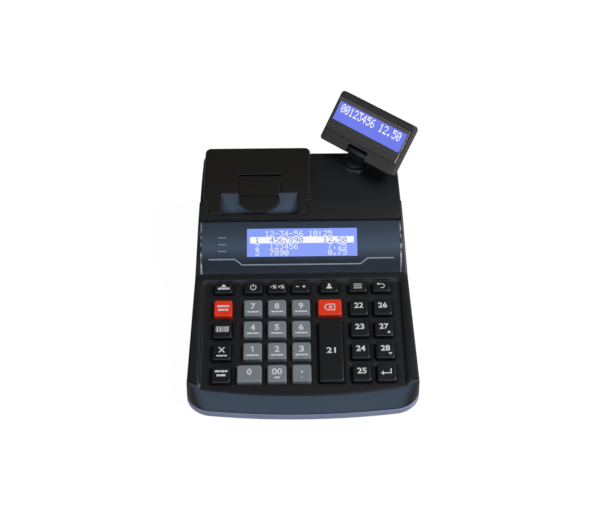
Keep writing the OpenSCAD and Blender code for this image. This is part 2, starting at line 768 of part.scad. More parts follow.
module key(k) {
    w = k[3];
    d = k[4];
    color(k[5]) on_deck() translate([k[1], k[2], 0]) {
        translate([-w/2, -d/2, -deck_t - key_flange_t/2]) cube([w, d, deck_t + key_flange_t/2 + key_rise]);
        translate([-w/2 - key_flange, -d/2 - key_flange, -deck_t - key_flange_t])
            cube([w + 2*key_flange, d + 2*key_flange, key_flange_t]);
    }
}

// A side plate of the printer frame, in the Y-Z plane
module frame_plate(x0, x1) {
    tub_rear = roll_y + tub_r + tub_t;
    low = roll_z - tub_r - tub_t;
    across(x0, x1, [
        [frame_front_y, low], [tub_rear, low], [tub_rear, plate_rear_z], [roll_y + tub_r/2, plate_rear_z],
        [roll_y - tub_r/4, platen_z - platen_room], [platen[0] - cradle_in, platen_z - platen_room],
        [platen[0] - cradle_in, frame_top_z], [shoulder_y, frame_top_z],
        [shoulder_y, shoulder_z], [frame_front_y, shoulder_z]]);
}

module printer_frame() {
    low = roll_z - tub_r - tub_t;
    idler_axle_x = gear_x0 + gear_w;
    color("#3b3d40") difference() {
        union() {
            frame_plate(paper_x - plate_out, paper_x - plate_in);
            frame_plate(paper_x + plate_in, paper_x + plate_out);
            // Paper tub
            difference() {
                union() {
                    rod(paper_x - plate_in - 0.5, paper_x + plate_in + 0.5, [roll_y, roll_z], tub_r + tub_t);
                    block([paper_x - plate_in - 0.5, roll_y - tub_foot, low],
                          [paper_x + plate_in + 0.5, roll_y + tub_foot, low + tub_foot]);
                }
                rod(paper_x - plate_in, paper_x + plate_in, [roll_y, roll_z], tub_r);
                block([paper_x - plate_out - cut, roll_y - tub_r - 2*tub_t, roll_z + 3],
                      [paper_x + plate_out + cut, roll_y + tub_r + 2*tub_t, roll_z + big/4]);
            }
            // Front wall, cross bar and ledge that carry the print head and the tear bar
            block([paper_x - plate_in - 0.5, frame_front_y, low],
                  [paper_x + plate_in + 0.5, frame_front_y + frame_wall_t, shoulder_z]);
            block([paper_x - plate_in - 0.5, shoulder_y, frame_top_z - 2],
                  [paper_x + plate_in + 0.5, platen[0] - 11, frame_top_z]);
            // Axle of the idler gear
            rod(paper_x + plate_out - 0.5, idler_axle_x + 0.4, idler, shaft_r);
        }
        // Hole for the motor's boss
        rod(paper_x + plate_in - cut, paper_x + plate_out + cut, pinion, 2.5);
    }
}

// The head's ceramic plate on its metal bracket, facing the platen
module print_head() {
    face = platen_r + slip;
    stem_len = platen[0] - face - head_plate_t - frame_front_y - 0.6;
    color("#a8abb0") translate([paper_x, platen[0], platen[1]]) rotate([lean, 0, 0]) {
        translate([-paper_w/2, -face - head_plate_t, -head_plate_h/2])
            cube([paper_w, head_plate_t, head_plate_h]);
    }
    // Springs' stems that press the head towards the platen
    color("#8c8f94") for (side = [-1, 0, 1]) {
        translate([paper_x + side*stem_pitch, frame_front_y + frame_wall_t, platen[1] - stem_drop])
            rotate([-90, 0, 0]) cylinder(h = stem_len, r = stem_r, $fn = 32);
    }
}

module stepper_motor() {
    x1 = paper_x + plate_in;
    color("#9a9da3") rod(x1 - motor_len, x1, pinion, motor_r);
    color("#c9a24a") rod(x1 - 0.5, x1 + plate_t, pinion, 2.4);
    color("#b5b8bd") rod(x1, gear_x0 + gear_w, pinion, 0.8);
}

// A spur gear along X with straight-sided teeth; turned by a share of a tooth
module gear(p, teeth, phase, bore_r) {
    pitch_r = gear_module*teeth/2;
    root = pitch_r - 1.2*gear_module;
    tip = pitch_r + gear_module;
    step = 360/teeth;
    half_root = 0.27*step;
    half_tip = 0.11*step;
    tooth = [[root, -half_root], [tip, -half_tip], [tip, half_tip], [root, half_root]];
    outline = [for (i = [0:teeth - 1], c = tooth)
        let (a = (i + phase)*step + c[1]) c[0]*[cos(a), sin(a)]];
    translate([gear_x0, p[0], p[1]]) rotate([90, 0, 90]) difference() {
        linear_extrude(gear_w) polygon(outline);
        translate([0, 0, -cut]) cylinder(h = gear_w + 2*cut, r = bore_r, $fn = 48);
    }
}

// Directions between the gear centres, and the phases that put a tooth in a gap
to_idler = atan2(idler[1] - platen[1], idler[0] - platen[0]);
to_pinion = atan2(pinion[1] - idler[1], pinion[0] - idler[0]);
platen_phase = to_idler*platen_teeth/360;
idler_phase = (to_idler + 180)*idler_teeth/360 + 0.5;
idler_at_pinion = to_pinion*idler_teeth/360 - idler_phase;
pinion_phase = (to_pinion + 180)*pinion_teeth/360 + 0.5 + idler_at_pinion;

module motor_pinion() {
    color("#c9a24a") gear(pinion, pinion_teeth, pinion_phase, 0.8 + 0.05);
}

module idler_gear() {
    color("#e6e4dc") gear(idler, idler_teeth, idler_phase, shaft_r + 0.05);
}

module platen_gear() {
    color("#e6e4dc") gear(platen, platen_teeth, platen_phase, shaft_r);
}

module platen_roller() {
    color("#2a2a2c") rod(paper_x - arm_in + 0.4, paper_x + arm_in - 0.4, platen, platen_r);
    color("#b9bcc0") rod(paper_x - arm_out - 0.6, gear_x0 + gear_w, platen, shaft_r);
}

module paper_roll() {
    color("#f4f2ec") difference() {
        rod(paper_x - paper_w/2, paper_x + paper_w/2, [roll_y, roll_z], roll_r);
        rod(paper_x - paper_w/2 - cut, paper_x + paper_w/2 + cut, [roll_y, roll_z], roll_bore_r);
    }
}

// Outline of the cover between its base and its top, moved inwards by inset
function cover_outline(y0, y1, inset) = concat(
    crown_arc(cover_base_r - (inset > 0 ? 2*cut : 0), y0 + inset, y1 - inset, 8),
    [for (p = crown_arc(crown_r - inset, y1 - inset - (inset > 0 ? 0 : 3), y0 + inset, 8)) p]);

module printer_cover() {
    wide_y0 = step_y + cover_front_gap;
    x0 = paper_x - chute_w/2;
    x1 = paper_x + chute_w/2;
    slope_dir = [cos(chute_slope), sin(chute_slope)];
    slope_down = [sin(chute_slope), -cos(chute_slope)];
    foot = [chute_foot_y, chute_foot_z];
    top = foot + (chute_run/cos(chute_slope))*slope_dir;
    color("#1f2022") difference() {
        union() {
            // Shell over the rear deck
            difference() {
                across(cover_x0, cover_x1, cover_outline(wide_y0, case_depth, 0));
                across(cover_x0 + cover_wall, cover_x1 - cover_wall,
                    cover_outline(wide_y0, case_depth, cover_wall));
            }
            // Cheeks beside the chute
            for (x = [[tongue_x0, x0], [x1, tongue_x1]]) {
                across(x[0], x[1], concat(
                    crown_arc(crown_r, front_y, wide_y0 + 3, 5),
                    [[wide_y0 + 3, crown_height(crown_r, wide_y0 + 3) - 3.2]],
                    [[front_y + 0.3, crown_height(crown_r, front_y) - 3.2]]));
            }
            // Sloping wall of the chute and its side walls
            across(x0 - cover_wall, x1 + cover_wall, [foot, top, top + cover_wall*slope_down + 0.5*slope_dir,
                foot + cover_wall*slope_down]);
            side_top = [-2, crown_height(crown_r, chute_foot_y - 2) - foot[1] - 2];
            for (x = [x0 - cover_wall, x1]) {
                across(x, x + cover_wall, concat([foot, foot + [0, 3], foot + side_top],
                    crown_arc(crown_r - 0.2, chute_foot_y - 2, chute_top_y + 3, 4),
                    [top + cover_wall*slope_down]));
            }
            // Arms that carry the platen
            for (x = [paper_x - arm_out, paper_x + arm_in]) {
                rod(x, x + plate_t, platen, arm_r);
                across(x, x + plate_t, [platen + [-arm_r + 0.4, 0.5], platen + [arm_r - 0.4, 0.5],
                    foot + cover_wall*slope_down + 9*slope_dir, foot + 0.5*slope_down + 2*slope_dir]);
            }
            // Lugs for the lever's pin
            for (x = [lever_x0 - lever_side_gap - lug_t, lever_x1 + lever_side_gap]) {
                rod(x, x + lug_t, lever_pivot, lug_r);
                block([x, lever_pivot[0] - lug_r, lever_pivot[1]],
                      [x + lug_t, lever_pivot[0] + lug_r, lever_pivot[1] + lever_pivot_drop - 1]);
            }
            // Knuckles and trunnions
            for (x = knuckle_x) {
                rod(x - knuckle_w/2, x + knuckle_w/2, hinge, rear_edge_r);
                across(x - knuckle_w/2, x + knuckle_w/2, [hinge + [-1.8, 0], hinge + [rear_edge_r - 0.3, 0],
                    hinge + [rear_edge_r - 0.3, 5.5], hinge + [-1.8, 5.5]]);
                reach = knuckle_slot/2 + trunnion_len - slip;
                rod(x - reach, x + reach, hinge, trunnion_r);
            }
        }
        // The chute's open space above its sloping wall
        across(x0, x1, [foot + [-20, 0], foot, top, top + [0, 10], foot + [-20, 40]]);
        // Round rear corners
        for (c = [[cover_x0, 1], [cover_x1, -1]]) {
            round_x = c[0] + c[1]*cover_corner_r;
            difference() {
                block([min(c[0] - c[1]*cut, round_x), case_depth - cover_corner_r, 0],
                      [max(c[0] - c[1]*cut, round_x), case_depth + cut, case_h]);
                translate([round_x, case_depth - cover_corner_r, -cut])
                    cylinder(h = case_h + cut, r = cover_corner_r, $fn = 64);
            }
        }
        // Bevels along the two long top edges
        for (c = [[cover_x0, -90], [cover_x1, 90]]) {
            translate([c[0], crown_c[0], crown_c[1]]) rotate([0, c[1], 0]) difference() {
                translate([0, 0, -cover_bevel]) cylinder(h = cover_bevel + cut, r = crown_r + cover_wall, $fn = 360);
                translate([0, 0, -cover_bevel - cut]) cylinder(h = cover_bevel + 3*cut, r1 = crown_r + cut,
                    r2 = crown_r - cover_bevel - 2*cut, $fn = 360);
            }
        }
        // Opening for the lever
        across(lever_x0 - lever_side_gap, lever_x1 + lever_side_gap, concat(
            crown_arc(crown_r - lever_cut, step_y - 12, lever_hole_y, 8),
            [[lever_hole_y, big/4], [step_y - 12, big/4]]));
        // Bores of the platen's shaft and the lever's pin
        rod(paper_x - arm_out - cut, paper_x + arm_out + cut, platen, shaft_r + 0.05);
        rod(lever_x0 - lug_t - cut, lever_x1 + lug_t + cut, lever_pivot, lever_pin_r);
    }
}

module release_lever() {
    y0 = step_y + lever_front_run + 2.2;
    y1 = step_y + lever_rear_run;
    side_in = 0.6;
    straight_y = step_y - 1.6;
    tip_y = step_y - tongue_run;
    tip_half = lever_w/2 - side_in;
    tip_rise = straight_y - tip_y;
    tip_r = (tip_half*tip_half + tip_rise*tip_rise)/2/tip_rise;
    color("#222325") {
        difference() {
            union() {
                intersection() {
                    across(lever_x0, lever_x1, concat(crown_arc(crown_r, step_y - 12, y1, 8),
                        crown_arc(crown_r - lever_t, y1, step_y - 12, 8)));
                    union() {
                        block([lever_x0, y0, 0], [lever_x1, y1, case_h]);
                        block([lever_x0 + side_in, straight_y, 0], [lever_x1 - side_in, y0 + cut, case_h]);
                        intersection() {
                            translate([paper_x, tip_y + tip_r, 0]) cylinder(h = case_h, r = tip_r, $fn = 180);
                            block([lever_x0 + side_in, tip_y, 0],
                                  [lever_x1 - side_in, straight_y + cut, case_h]);
                        }
                    }
                }
                for (x = [lever_x0, lever_x1 - lug_t]) {
                    rod(x, x + lug_t, lever_pivot, lug_r - 0.3);
                    block([x, lever_pivot[0] - lever_lug_half, lever_pivot[1]],
                          [x + lug_t, lever_pivot[0] + lever_lug_half, lever_pivot[1] + lever_pivot_drop - 1]);
                }
            }
            rod(lever_x0 - cut, lever_x1 + cut, lever_pivot, lever_pin_r + 0.05);
        }
    }
}

module lever_pin() {
    reach = lever_side_gap + lug_t;
    color("#b9bcc0") rod(lever_x0 - reach, lever_x1 + reach, lever_pivot, lever_pin_r);
}

// Toothed steel strip behind the lip of the case, standing on the frame's ledge
module tear_bar() {
    y = front_y - notch_gap + 0.3;
    z1 = crown_height(crown_r, front_y) - 2.6;
    pitch = 2;
    count = floor(paper_w/pitch);
    teeth = [for (i = [0:count - 1]) each [[i*pitch, z1 - 0.8], [(i + 0.5)*pitch, z1]]];
    color("#c4c7cb") {
        translate([paper_x - count*pitch/2, y + 0.8, 0]) rotate([90, 0, 0]) linear_extrude(0.8)
            polygon(concat([[0, frame_top_z]], teeth, [[count*pitch, z1 - 0.8], [count*pitch, frame_top_z]]));
        block([paper_x - count*pitch/2, platen[0] - 2*cradle_in, frame_top_z],
              [paper_x + count*pitch/2, y + 0.4, frame_top_z + 0.8]);
    }
}

// The neck and what it carries turn about the swivel axis
module on_swivel() {
    translate([swivel_x, swivel_y, 0]) rotate([0, 0, rest_swivel]) children();
}

// Puts its children on the tilt axis: X along it, Z up the display's face, Y out of its back
module on_tilt() {
    on_swivel() translate([head_shift, 0, tilt_z]) rotate([-rest_lean, 0, 0]) children();
}

module display_neck() {
    disc_z = seat_z;
    under = seat_z - 5 - 0.4;
    color("#232426") on_swivel() difference() {
        union() {
            translate([0, 0, disc_z]) cylinder(h = neck_disc_h, r = swivel_r, $fn = 96);
            translate([0, 0, disc_z + neck_disc_h - 0.5])
                cylinder(h = 1.3, r1 = swivel_r - 1, r2 = swivel_r - 2.4, $fn = 96);
            translate([0, 0, under - 2]) cylinder(h = disc_z - under + 2.5, r = neck_shaft_r, $fn = 64);
            intersection() {
                translate([0, 0, under - 2]) cylinder(h = 2, r = barb_r, $fn = 64);
                translate([-barb_r, -barb_w/2, under - 3]) cube([2*barb_r, barb_w, 4]);
            }
            translate([-stem_w/2 + head_shift/2, -stem_t/2, disc_z + 0.5])
                cube([stem_w, stem_t, tilt_z - disc_z - 0.5]);
            translate([head_shift - barrel_len/2, 0, tilt_z]) rotate([0, 90, 0])
                cylinder(h = barrel_len, r = barrel_r, $fn = 64);
        }
        translate([head_shift - barrel_len/2 - cut, 0, tilt_z]) rotate([0, 90, 0])
            cylinder(h = barrel_len + 2*cut, r = tilt_pin_r + 0.05, $fn = 48);
        translate([0, 0, under - 3]) cylinder(h = tilt_z - barrel_r - under - 1, r = 2.6, $fn = 48);
    }
}

module tilt_pin(r, len) {
    translate([-len/2, 0, 0]) rotate([0, 90, 0]) cylinder(h = len, r = r, $fn = 48);
}

pin_len = barrel_len + 15;
notch_half = notch_w/2;

module display_hinge_pin() {
    color("#b9bcc0") on_tilt() tilt_pin(tilt_pin_r, pin_len);
}

module head_notch() {
    translate([-notch_half, -head_front_t - cut, -head_down - cut])
        cube([notch_w, head_front_t + head_rear_t + 2*cut, head_down + notch_v + cut]);
}

module customer_display_front() {
    color("#4a4746") on_tilt() difference() {
        translate([-head_w/2, -head_front_t, -head_down]) cube([head_w, head_front_t, head_down + head_up]);
        head_notch();
        // Seat of the lens
        translate([-head_lens_w/2 - fit, -head_front_t - cut, head_lens_v - fit])
            cube([head_lens_w + 2*fit, head_lens_t + cut, head_lens_h + 2*fit]);
        // Space for the display module
        translate([-head_lcd_w/2 - fit, -head_front_t, head_lcd_v - head_lcd_h/2 - fit])
            cube([head_lcd_w + 2*fit, head_front_t + cut, head_lcd_h + 2*fit]);
        // Hollow beside the hinge and above the module
        for (side = [-1, 1]) {
            middle = side*(head_w/2 - head_wall - side_hollow_w/2);
            translate([middle - side_hollow_w/2, -head_front_t + head_wall + head_lens_t, notch_v + notch_rim])
                cube([side_hollow_w, head_front_t, head_up - head_wall - notch_v - notch_rim]);
        }
        tilt_pin(tilt_pin_r, pin_len);
    }
}

module customer_display_rear() {
    t = head_rear_t;
    c = head_chamfer;
    color("#26272a") on_tilt() difference() {
        intersection() {
            translate([-head_w/2, 0, -head_down]) cube([head_w, t, head_down + head_up]);
            // Chamfers at the top and the bottom of the back
            across(-head_w/2 - cut, head_w/2 + cut, [
                [-cut, -head_down], [t - c/2, -head_down], [t, -head_down + c/2],
                [t, head_up - c], [t - c, head_up], [-cut, head_up]]);
            // Chamfers at its two sides
            translate([0, 0, -head_down - cut]) linear_extrude(head_up + head_down + 2*cut)
                polygon([[-head_w/2, -cut], [head_w/2, -cut], [head_w/2, t - c], [head_w/2 - c, t],
                         [-head_w/2 + c, t], [-head_w/2, t - c]]);
        }
        head_notch();
        translate([-head_w/2 + head_wall + c/2, -cut, notch_v + notch_rim])
            cube([head_w - 2*head_wall - c, t - head_wall + cut,
                  head_up - head_wall - c/2 - notch_v - notch_rim]);
        tilt_pin(tilt_pin_r, pin_len);
    }
}

module customer_lens() {
    color("#2c333f", 0.6) on_tilt() translate([-head_lens_w/2, -head_front_t, head_lens_v])
        cube([head_lens_w, head_lens_t, head_lens_h]);
}

module customer_lcd() {
    color("#6b7af0") on_tilt()
        translate([-head_lcd_w/2, -head_front_t + head_lens_t, head_lcd_v - head_lcd_h/2])
        cube([head_lcd_w, head_lcd_t, head_lcd_h]);
}

module rubber_feet() {
    color("#1a1a1b") foot_places() cylinder(h = foot_h + foot_sink, r = foot_r - 0.05, $fn = 48);
}

module case_screws() {
    color("#8c8f94") {
        front_boss_places() case_screw();
        rear_boss_places() case_screw();
    }
}

module case_screw() {
    translate([0, 0, counterbore_z - screw_head_h]) cylinder(h = screw_head_h, r = screw_head_r, $fn = 32);
    translate([0, 0, counterbore_z - 0.5]) cylinder(h = seam_z + 7 - counterbore_z, r = screw_r, $fn = 32);
}

bottom_case();
top_case();
display_lens();
operator_lcd();
main_board();
keypad_board();
keypad_mat();
printer_frame();
print_head();
stepper_motor();
motor_pinion();
idler_gear();
platen_roller();
platen_gear();
paper_roll();
printer_cover();
release_lever();
lever_pin();
tear_bar();
display_neck();
display_hinge_pin();
customer_display_front();
customer_display_rear();
customer_lens();
customer_lcd();
rubber_feet();
case_screws();
for (k = KEYS) {
    key(k);
}
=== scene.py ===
# %% [markdown]
# # A compact ticket register
# The engineering model gives every part its size, its place and its joint. This notebook gives the
# parts the look of the real product: moulded plastic with fine grain and soft edges, satin keys with
# printed figures, smoked windows over blue displays. Lengths in the formulas are millimetres, as on a
# drawing, and `MM` turns them into the metres that the scene works in.

# %% Load the engineering model
import bmesh
import bpy
import numpy as np
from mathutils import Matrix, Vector
from mathutils.geometry import delaunay_2d_cdt


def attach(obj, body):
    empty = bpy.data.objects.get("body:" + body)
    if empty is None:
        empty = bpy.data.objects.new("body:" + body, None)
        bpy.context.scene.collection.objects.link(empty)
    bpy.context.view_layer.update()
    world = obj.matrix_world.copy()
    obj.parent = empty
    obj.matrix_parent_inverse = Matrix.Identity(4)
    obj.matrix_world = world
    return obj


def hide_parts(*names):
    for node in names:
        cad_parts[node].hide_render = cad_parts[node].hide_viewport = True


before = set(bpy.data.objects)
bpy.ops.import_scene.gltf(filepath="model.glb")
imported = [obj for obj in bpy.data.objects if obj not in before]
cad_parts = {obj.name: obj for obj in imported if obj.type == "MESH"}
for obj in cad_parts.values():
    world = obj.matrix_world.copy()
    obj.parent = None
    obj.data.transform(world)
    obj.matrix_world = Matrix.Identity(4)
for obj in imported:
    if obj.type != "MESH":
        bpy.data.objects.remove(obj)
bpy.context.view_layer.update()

MM = 0.001

# %% [markdown]
# ## Sizes of the case
# The same sizes as the engineering model. The keyboard deck slopes by 8 degrees, the display's lens is
# an arc, and the top is a gentle crown, so that the whole profile is four simple curves.

# %% Sizes
SEAM_Z, FOOT_Z, DEPTH = 11.4, 3.0, 231.5
HALF_W, TAPER, DRAFT = 91.3, np.radians(1.123), np.radians(3.4)
BOW_R, BOW_LEAN = 650.0, 11.4/10.6
CORNER_X, CORNER_Y, REAR_R = 72.5, 22.27, 8.0
DECK_Y, DECK_Z, SLOPE = 11.4, 22.0, np.radians(8)
SINK, DECK_HALF, DECK_LEN = 1.5, 80.3, 101.3
FOOT = np.array([116.952, 38.349])
HEAD = np.array([157.959, 60.061])
LENS_C, LENS_R, LENS_T = np.array([179.1138, -29.4738]), 92.0, 2.5
CROWN_C, CROWN_R, REAR_DECK_R = np.array([227.959, -132.617]), 205.0, 198.5
STEP_Y, HINGE_Y, HINGE_Z = 174.359, 228.6, 62.982
SWIVEL = np.array([48.0, 219.0])
SEAT_Z, SEAT_R, NECK_HOLE_R = 66.3, 11.5, 6.3
PAPER_X, ROLL_Y, ROLL_Z = -34.4, 196.364, 32.191
LENS_MID = np.radians(117.9)
print("case", 2*HALF_W, "by", DEPTH, "mm")

# %% [markdown]
# ## Adding shader nodes, and colours
# One helper adds any node, and one function turns a colour as a person would pick it on a screen into
# the linear light that the renderer counts in.

# %% Helpers for materials
def add(tree, kind, inputs=None, **settings):
    """Adds one node. Each input is a plain value, or the output of another node, which is linked."""
    node = tree.nodes.new("ShaderNode" + kind)
    for key, value in settings.items():
        setattr(node, key, value)
    for key, value in (inputs or {}).items():
        if isinstance(value, bpy.types.NodeSocket):
            tree.links.new(value, node.inputs[key])
        else:
            node.inputs[key].default_value = value
    return node


def screen(code, share=1.0):
    """Linear colour of a hex screen colour: below 0.04 divided by 12.92, above it a 2.4 power."""
    values = np.array([int(code[i:i + 2], 16) for i in (1, 3, 5)])/255
    linear = np.where(values <= 0.04045, values/12.92, ((values + 0.055)/1.055)**2.4)
    return (*(linear*share), 1.0)


def blank(name):
    """A new material, its empty tree, and the place of a point on its object."""
    coat = bpy.data.materials.new(name)
    coat.use_nodes = True
    tree = coat.node_tree
    tree.nodes.clear()
    return coat, tree, add(tree, "TexCoord").outputs["Object"]


def ended(tree, node, socket="BSDF"):
    """Links the last node of a material to the surface."""
    add(tree, "OutputMaterial", {"Surface": node.outputs[socket]})


def solid(tree, colour, rough, more=None):
    """Ends a material in a solid surface of a colour and a roughness."""
    ended(tree, add(tree, "BsdfPrincipled", {"Base Color": colour, "Roughness": rough, **(more or {})}))


def noise(tree, place, scale, detail=2.0):
    """The value of a noise at a place; its scale is per metre."""
    return add(tree, "TexNoise", {"Vector": place, "Scale": scale, "Detail": detail}).outputs["Fac"]


def between(tree, share, low, high):
    """Runs a value from low to high as share goes from 0 to 1."""
    return add(tree, "MapRange", {"Value": share, "To Min": low, "To Max": high}).outputs["Result"]


def tinted(tree, share, first, second):
    """Mixes two colours by share."""
    mix = add(tree, "Mix", {0: share, 6: first, 7: second}, data_type="RGBA")
    return mix.outputs[2]

# %% [markdown]
# ## Moulded plastics
# The case is moulded in a tool whose faces are spark-eroded, so it has a fine matt grain. Keys come
# from a polished tool and look satin. The grain is drawn at half a millimetre, a little coarser than
# the real one, so that it survives at this picture size.

# %% Moulded plastics
def plastic(name, colour, rough, grain_mm=0.5, relief=0.25, cloud=0.06, coat_share=0.0):
    """Plastic whose colour drifts slightly, whose grain is a fine noise bump and whose gloss varies."""
    coat, tree, place = blank(name)
    grain = noise(tree, place, 1/(grain_mm*MM), 3.0)
    bump = add(tree, "Bump", {"Strength": relief, "Distance": 0.05*MM, "Height": grain})
    shade = tinted(tree, noise(tree, place, 45.0), screen(colour, 1 - cloud), screen(colour, 1 + cloud))
    solid(tree, shade, between(tree, grain, rough - 0.04, rough + 0.04), {
        "Normal": bump.outputs["Normal"], "IOR": 1.5, "Coat Weight": coat_share, "Coat Roughness": 0.12})
    return coat


COATS = {
    "case_top": plastic("Black ABS, spark-eroded", "#18191b", 0.4),
    # The base's pale blue-grey is partly its own tone and partly a painted reflection of the pale floor.
    "case_bottom": plastic("Pale base ABS with painted floor reflection", "#929dc0", 0.45),
    "cover_black": plastic("Black ABS of the cover", "#1a1917", 0.38),
    # The chute is black ABS; its blue-grey colour is a painted sheen of the bluish front light on its steep
    # face.
    "chute_black_with_painted_sheen": plastic("Satin black ABS of the chute, painted blue-grey sheen", "#303a46", 0.4),
    "key_black": plastic("Black key, satin", "#17181a", 0.36, 0.9, 0.08),
    "key_grey": plastic("Grey key, satin", "#848e95", 0.4, 0.9, 0.08),
    "key_red": plastic("Red key, satin", "#f83c16", 0.4, 0.9, 0.08),
    # Lighter and warmer than the back's black: the difference is a painted warm sheen of light from the left.
    "head_front": plastic("Black ABS of the display's front, painted warm sheen", "#262422", 0.42, 0.5, 0.12, 0.03),
    "head_rear": plastic("Black ABS of the display's back", "#18191b", 0.42),
    "frame_plastic": plastic("Glass-filled nylon", "#3b3d40", 0.55, 0.7, 0.5, 0.12),
    "acetal": plastic("Acetal gear", "#e6e4dc", 0.35, 1.2, 0.05),
    "platen_rubber": plastic("Platen rubber", "#2a2a2c", 0.7, 0.8, 0.4),
    "foot_rubber": plastic("Foot rubber", "#1a1a1b", 0.8, 0.9, 0.5),
    "socket_black": plastic("Black nylon of the sockets", "#1c1c1e", 0.5),
}
print("plastics:", len(COATS))

# %% [markdown]
# ## Metals, board, rubber sheet and paper
# Inside are the parts that a service engineer would see: turned steel shafts, a brass pinion, green
# solder mask over copper tracks, a milky silicone sheet under the keys and a roll of thermal paper.

# %% Metals
def metal(name, colour, rough):
    """Metal with fine turning lines: a noise drawn out along one axis moves its gloss."""
    coat, tree, place = blank(name)
    drawn = add(tree, "Mapping", {"Vector": place, "Scale": (1.0, 40.0, 40.0)}).outputs["Vector"]
    lines = noise(tree, drawn, 60.0, 3.0)
    solid(tree, screen(colour), between(tree, lines, rough - 0.08, rough + 0.1), {"Metallic": 1.0})
    return coat


COATS["steel"] = metal("Steel", "#b9bcc0", 0.28)
COATS["motor_can"] = metal("Zinc-plated can", "#a2a5aa", 0.38)
COATS["brass"] = metal("Brass", "#c9a24a", 0.3)

# %% Board, silicone and paper
def circuit_board(name):
    """Green solder mask: brick-like tracks a little lighter than the ground, under a glossy lacquer."""
    coat, tree, place = blank(name)
    tracks = add(tree, "TexBrick", {
        "Vector": place, "Scale": 220.0, "Mortar Size": 0.012, "Brick Width": 0.9, "Row Height": 0.28})
    shade = tinted(tree, tracks.outputs["Fac"], screen("#23603a"), screen("#3d8a52"))
    solid(tree, shade, 0.3)
    return coat


def silicone(name):
    """Milky silicone sheet, softly lit from inside."""
    coat, tree, place = blank(name)
    shade = tinted(tree, noise(tree, place, 120.0), screen("#aeb1b6"), screen("#c3c6ca"))
    solid(tree, shade, 0.55, {"Subsurface Weight": 0.15, "Subsurface Scale": 2*MM})
    return coat


def paper(name):
    """Thermal paper on its roll: fine rings on the ends, where the layers' edges show."""
    coat, tree, place = blank(name)
    flat = add(tree, "Mapping", {
        "Vector": place, "Location": (0.0, -ROLL_Y*MM, -ROLL_Z*MM), "Scale": (0.0, 1.0, 1.0)})
    radius = add(tree, "VectorMath", {0: flat.outputs["Vector"]}, operation="LENGTH").outputs["Value"]
    # A real layer is 0.06 mm; the rings are drawn six times as coarse.
    layers = add(tree, "Math", {0: radius, 1: 0.36*MM}, operation="PINGPONG").outputs["Value"]
    share = add(tree, "Math", {0: layers, 1: 0.36*MM}, operation="DIVIDE").outputs["Value"]
    solid(tree, tinted(tree, share, screen("#dedbd2"), screen("#f4f2ec")), 0.75)
    return coat


COATS["board_green"] = circuit_board("Solder mask")
COATS["silicone"] = silicone("Silicone")
COATS["paper"] = paper("Thermal paper")

# %% [markdown]
# ## Windows, displays and printing ink
# A window is a thin clear skin: it lets the light through with a slight smoke tint and mirrors more of
# it at a flat angle. The display under it is lit from behind, so its blue is light of its own. Printed
# marks are a thin white ink.

# %% Windows, displays and ink
def window(name, tint, rough=0.12, mirrored=0.4):
    """Clear acrylic with a faint haze: a see-through tint, mixed with a soft mirror by the Fresnel law."""
    coat, tree, place = blank(name)
    haze = noise(tree, place, 90.0)
    clear = add(tree, "BsdfTransparent", {"Color": screen(tint)})
    mirror = add(tree, "BsdfGlossy", {
        "Color": (1.0, 1.0, 1.0, 1.0), "Roughness": between(tree, haze, rough - 0.02, rough + 0.02)})
    fresnel = add(tree, "Fresnel", {"IOR": 1.49}).outputs["Fac"]
    share = add(tree, "Math", {0: fresnel, 1: mirrored}, operation="MULTIPLY").outputs["Value"]
    skin = add(tree, "MixShader", {0: share, 1: clear.outputs["BSDF"], 2: mirror.outputs["BSDF"]})
    ended(tree, skin, "Shader")
    return coat


def glow(name, colour, level, second=None):
    """A face lit from behind: the colour drifts slowly, as a light guide leaves it."""
    coat, tree, place = blank(name)
    shade = tinted(tree, noise(tree, place, 30.0), screen(colour), screen(second or colour))
    ended(tree, add(tree, "Emission", {"Color": shade, "Strength": level}), "Emission")
    return coat


def ink(name, colour, rough=0.5):
    """Thin printed ink: flat and opaque, hardly any gloss, its colour very slightly uneven."""
    coat, tree, place = blank(name)
    solid(tree, tinted(tree, noise(tree, place, 900.0), screen(colour, 0.93), screen(colour)), rough)
    return coat


def glint(name, dark, bright):
    """A painted highlight on the edge of a clear plate: patches of painted light that change quickly along
    it.
    """
    coat, tree, place = blank(name)
    patches = noise(tree, place, 190.0, 3.0)
    share = add(tree, "MapRange", {"Value": patches, "From Min": 0.42, "From Max": 0.62}).outputs["Result"]
    solid(tree, tinted(tree, share, screen(dark), screen(bright)), 0.25)
    return coat


def print_with_painted_light(name, low, high, stops):
    """Dark print with painted light on it: its colour changes with height as painted sheen and shade, from
    stops of (share of the height, colour).
    """
    coat, tree, place = blank(name)
    height = add(tree, "SeparateXYZ", {"Vector": place}).outputs["Z"]
    share = add(tree, "MapRange", {"Value": height, "From Min": low*MM, "From Max": high*MM})
    ramp = add(tree, "ValToRGB", {"Fac": share.outputs["Result"]})
    marks = ramp.color_ramp.elements
    for mark, (position, colour) in zip(list(marks), (stops[0], stops[-1])):
        mark.position, mark.color = position, screen(colour)
    for position, colour in stops[1:-1]:
        marks.new(position).color = screen(colour)
    solid(tree, ramp.outputs["Color"], 0.6)
    return coat


COATS["smoked_lens"] = window("Smoked acrylic", "#f4f6f9", 0.16, 0.06)
# Over the dark print, the slate-blue rise in the middle of the height is a painted sheen of the lamps on the
# curved plate.
COATS["lens_print_sheen"] = print_with_painted_light("Dark print behind the lens, with painted sheen", 38.5, 58.5, [
    (0.0, "#17181a"), (0.22, "#1b1e21"), (0.36, "#39444f"), (0.55, "#546575"), (0.85, "#404d5a"),
    (1.0, "#343e48")])
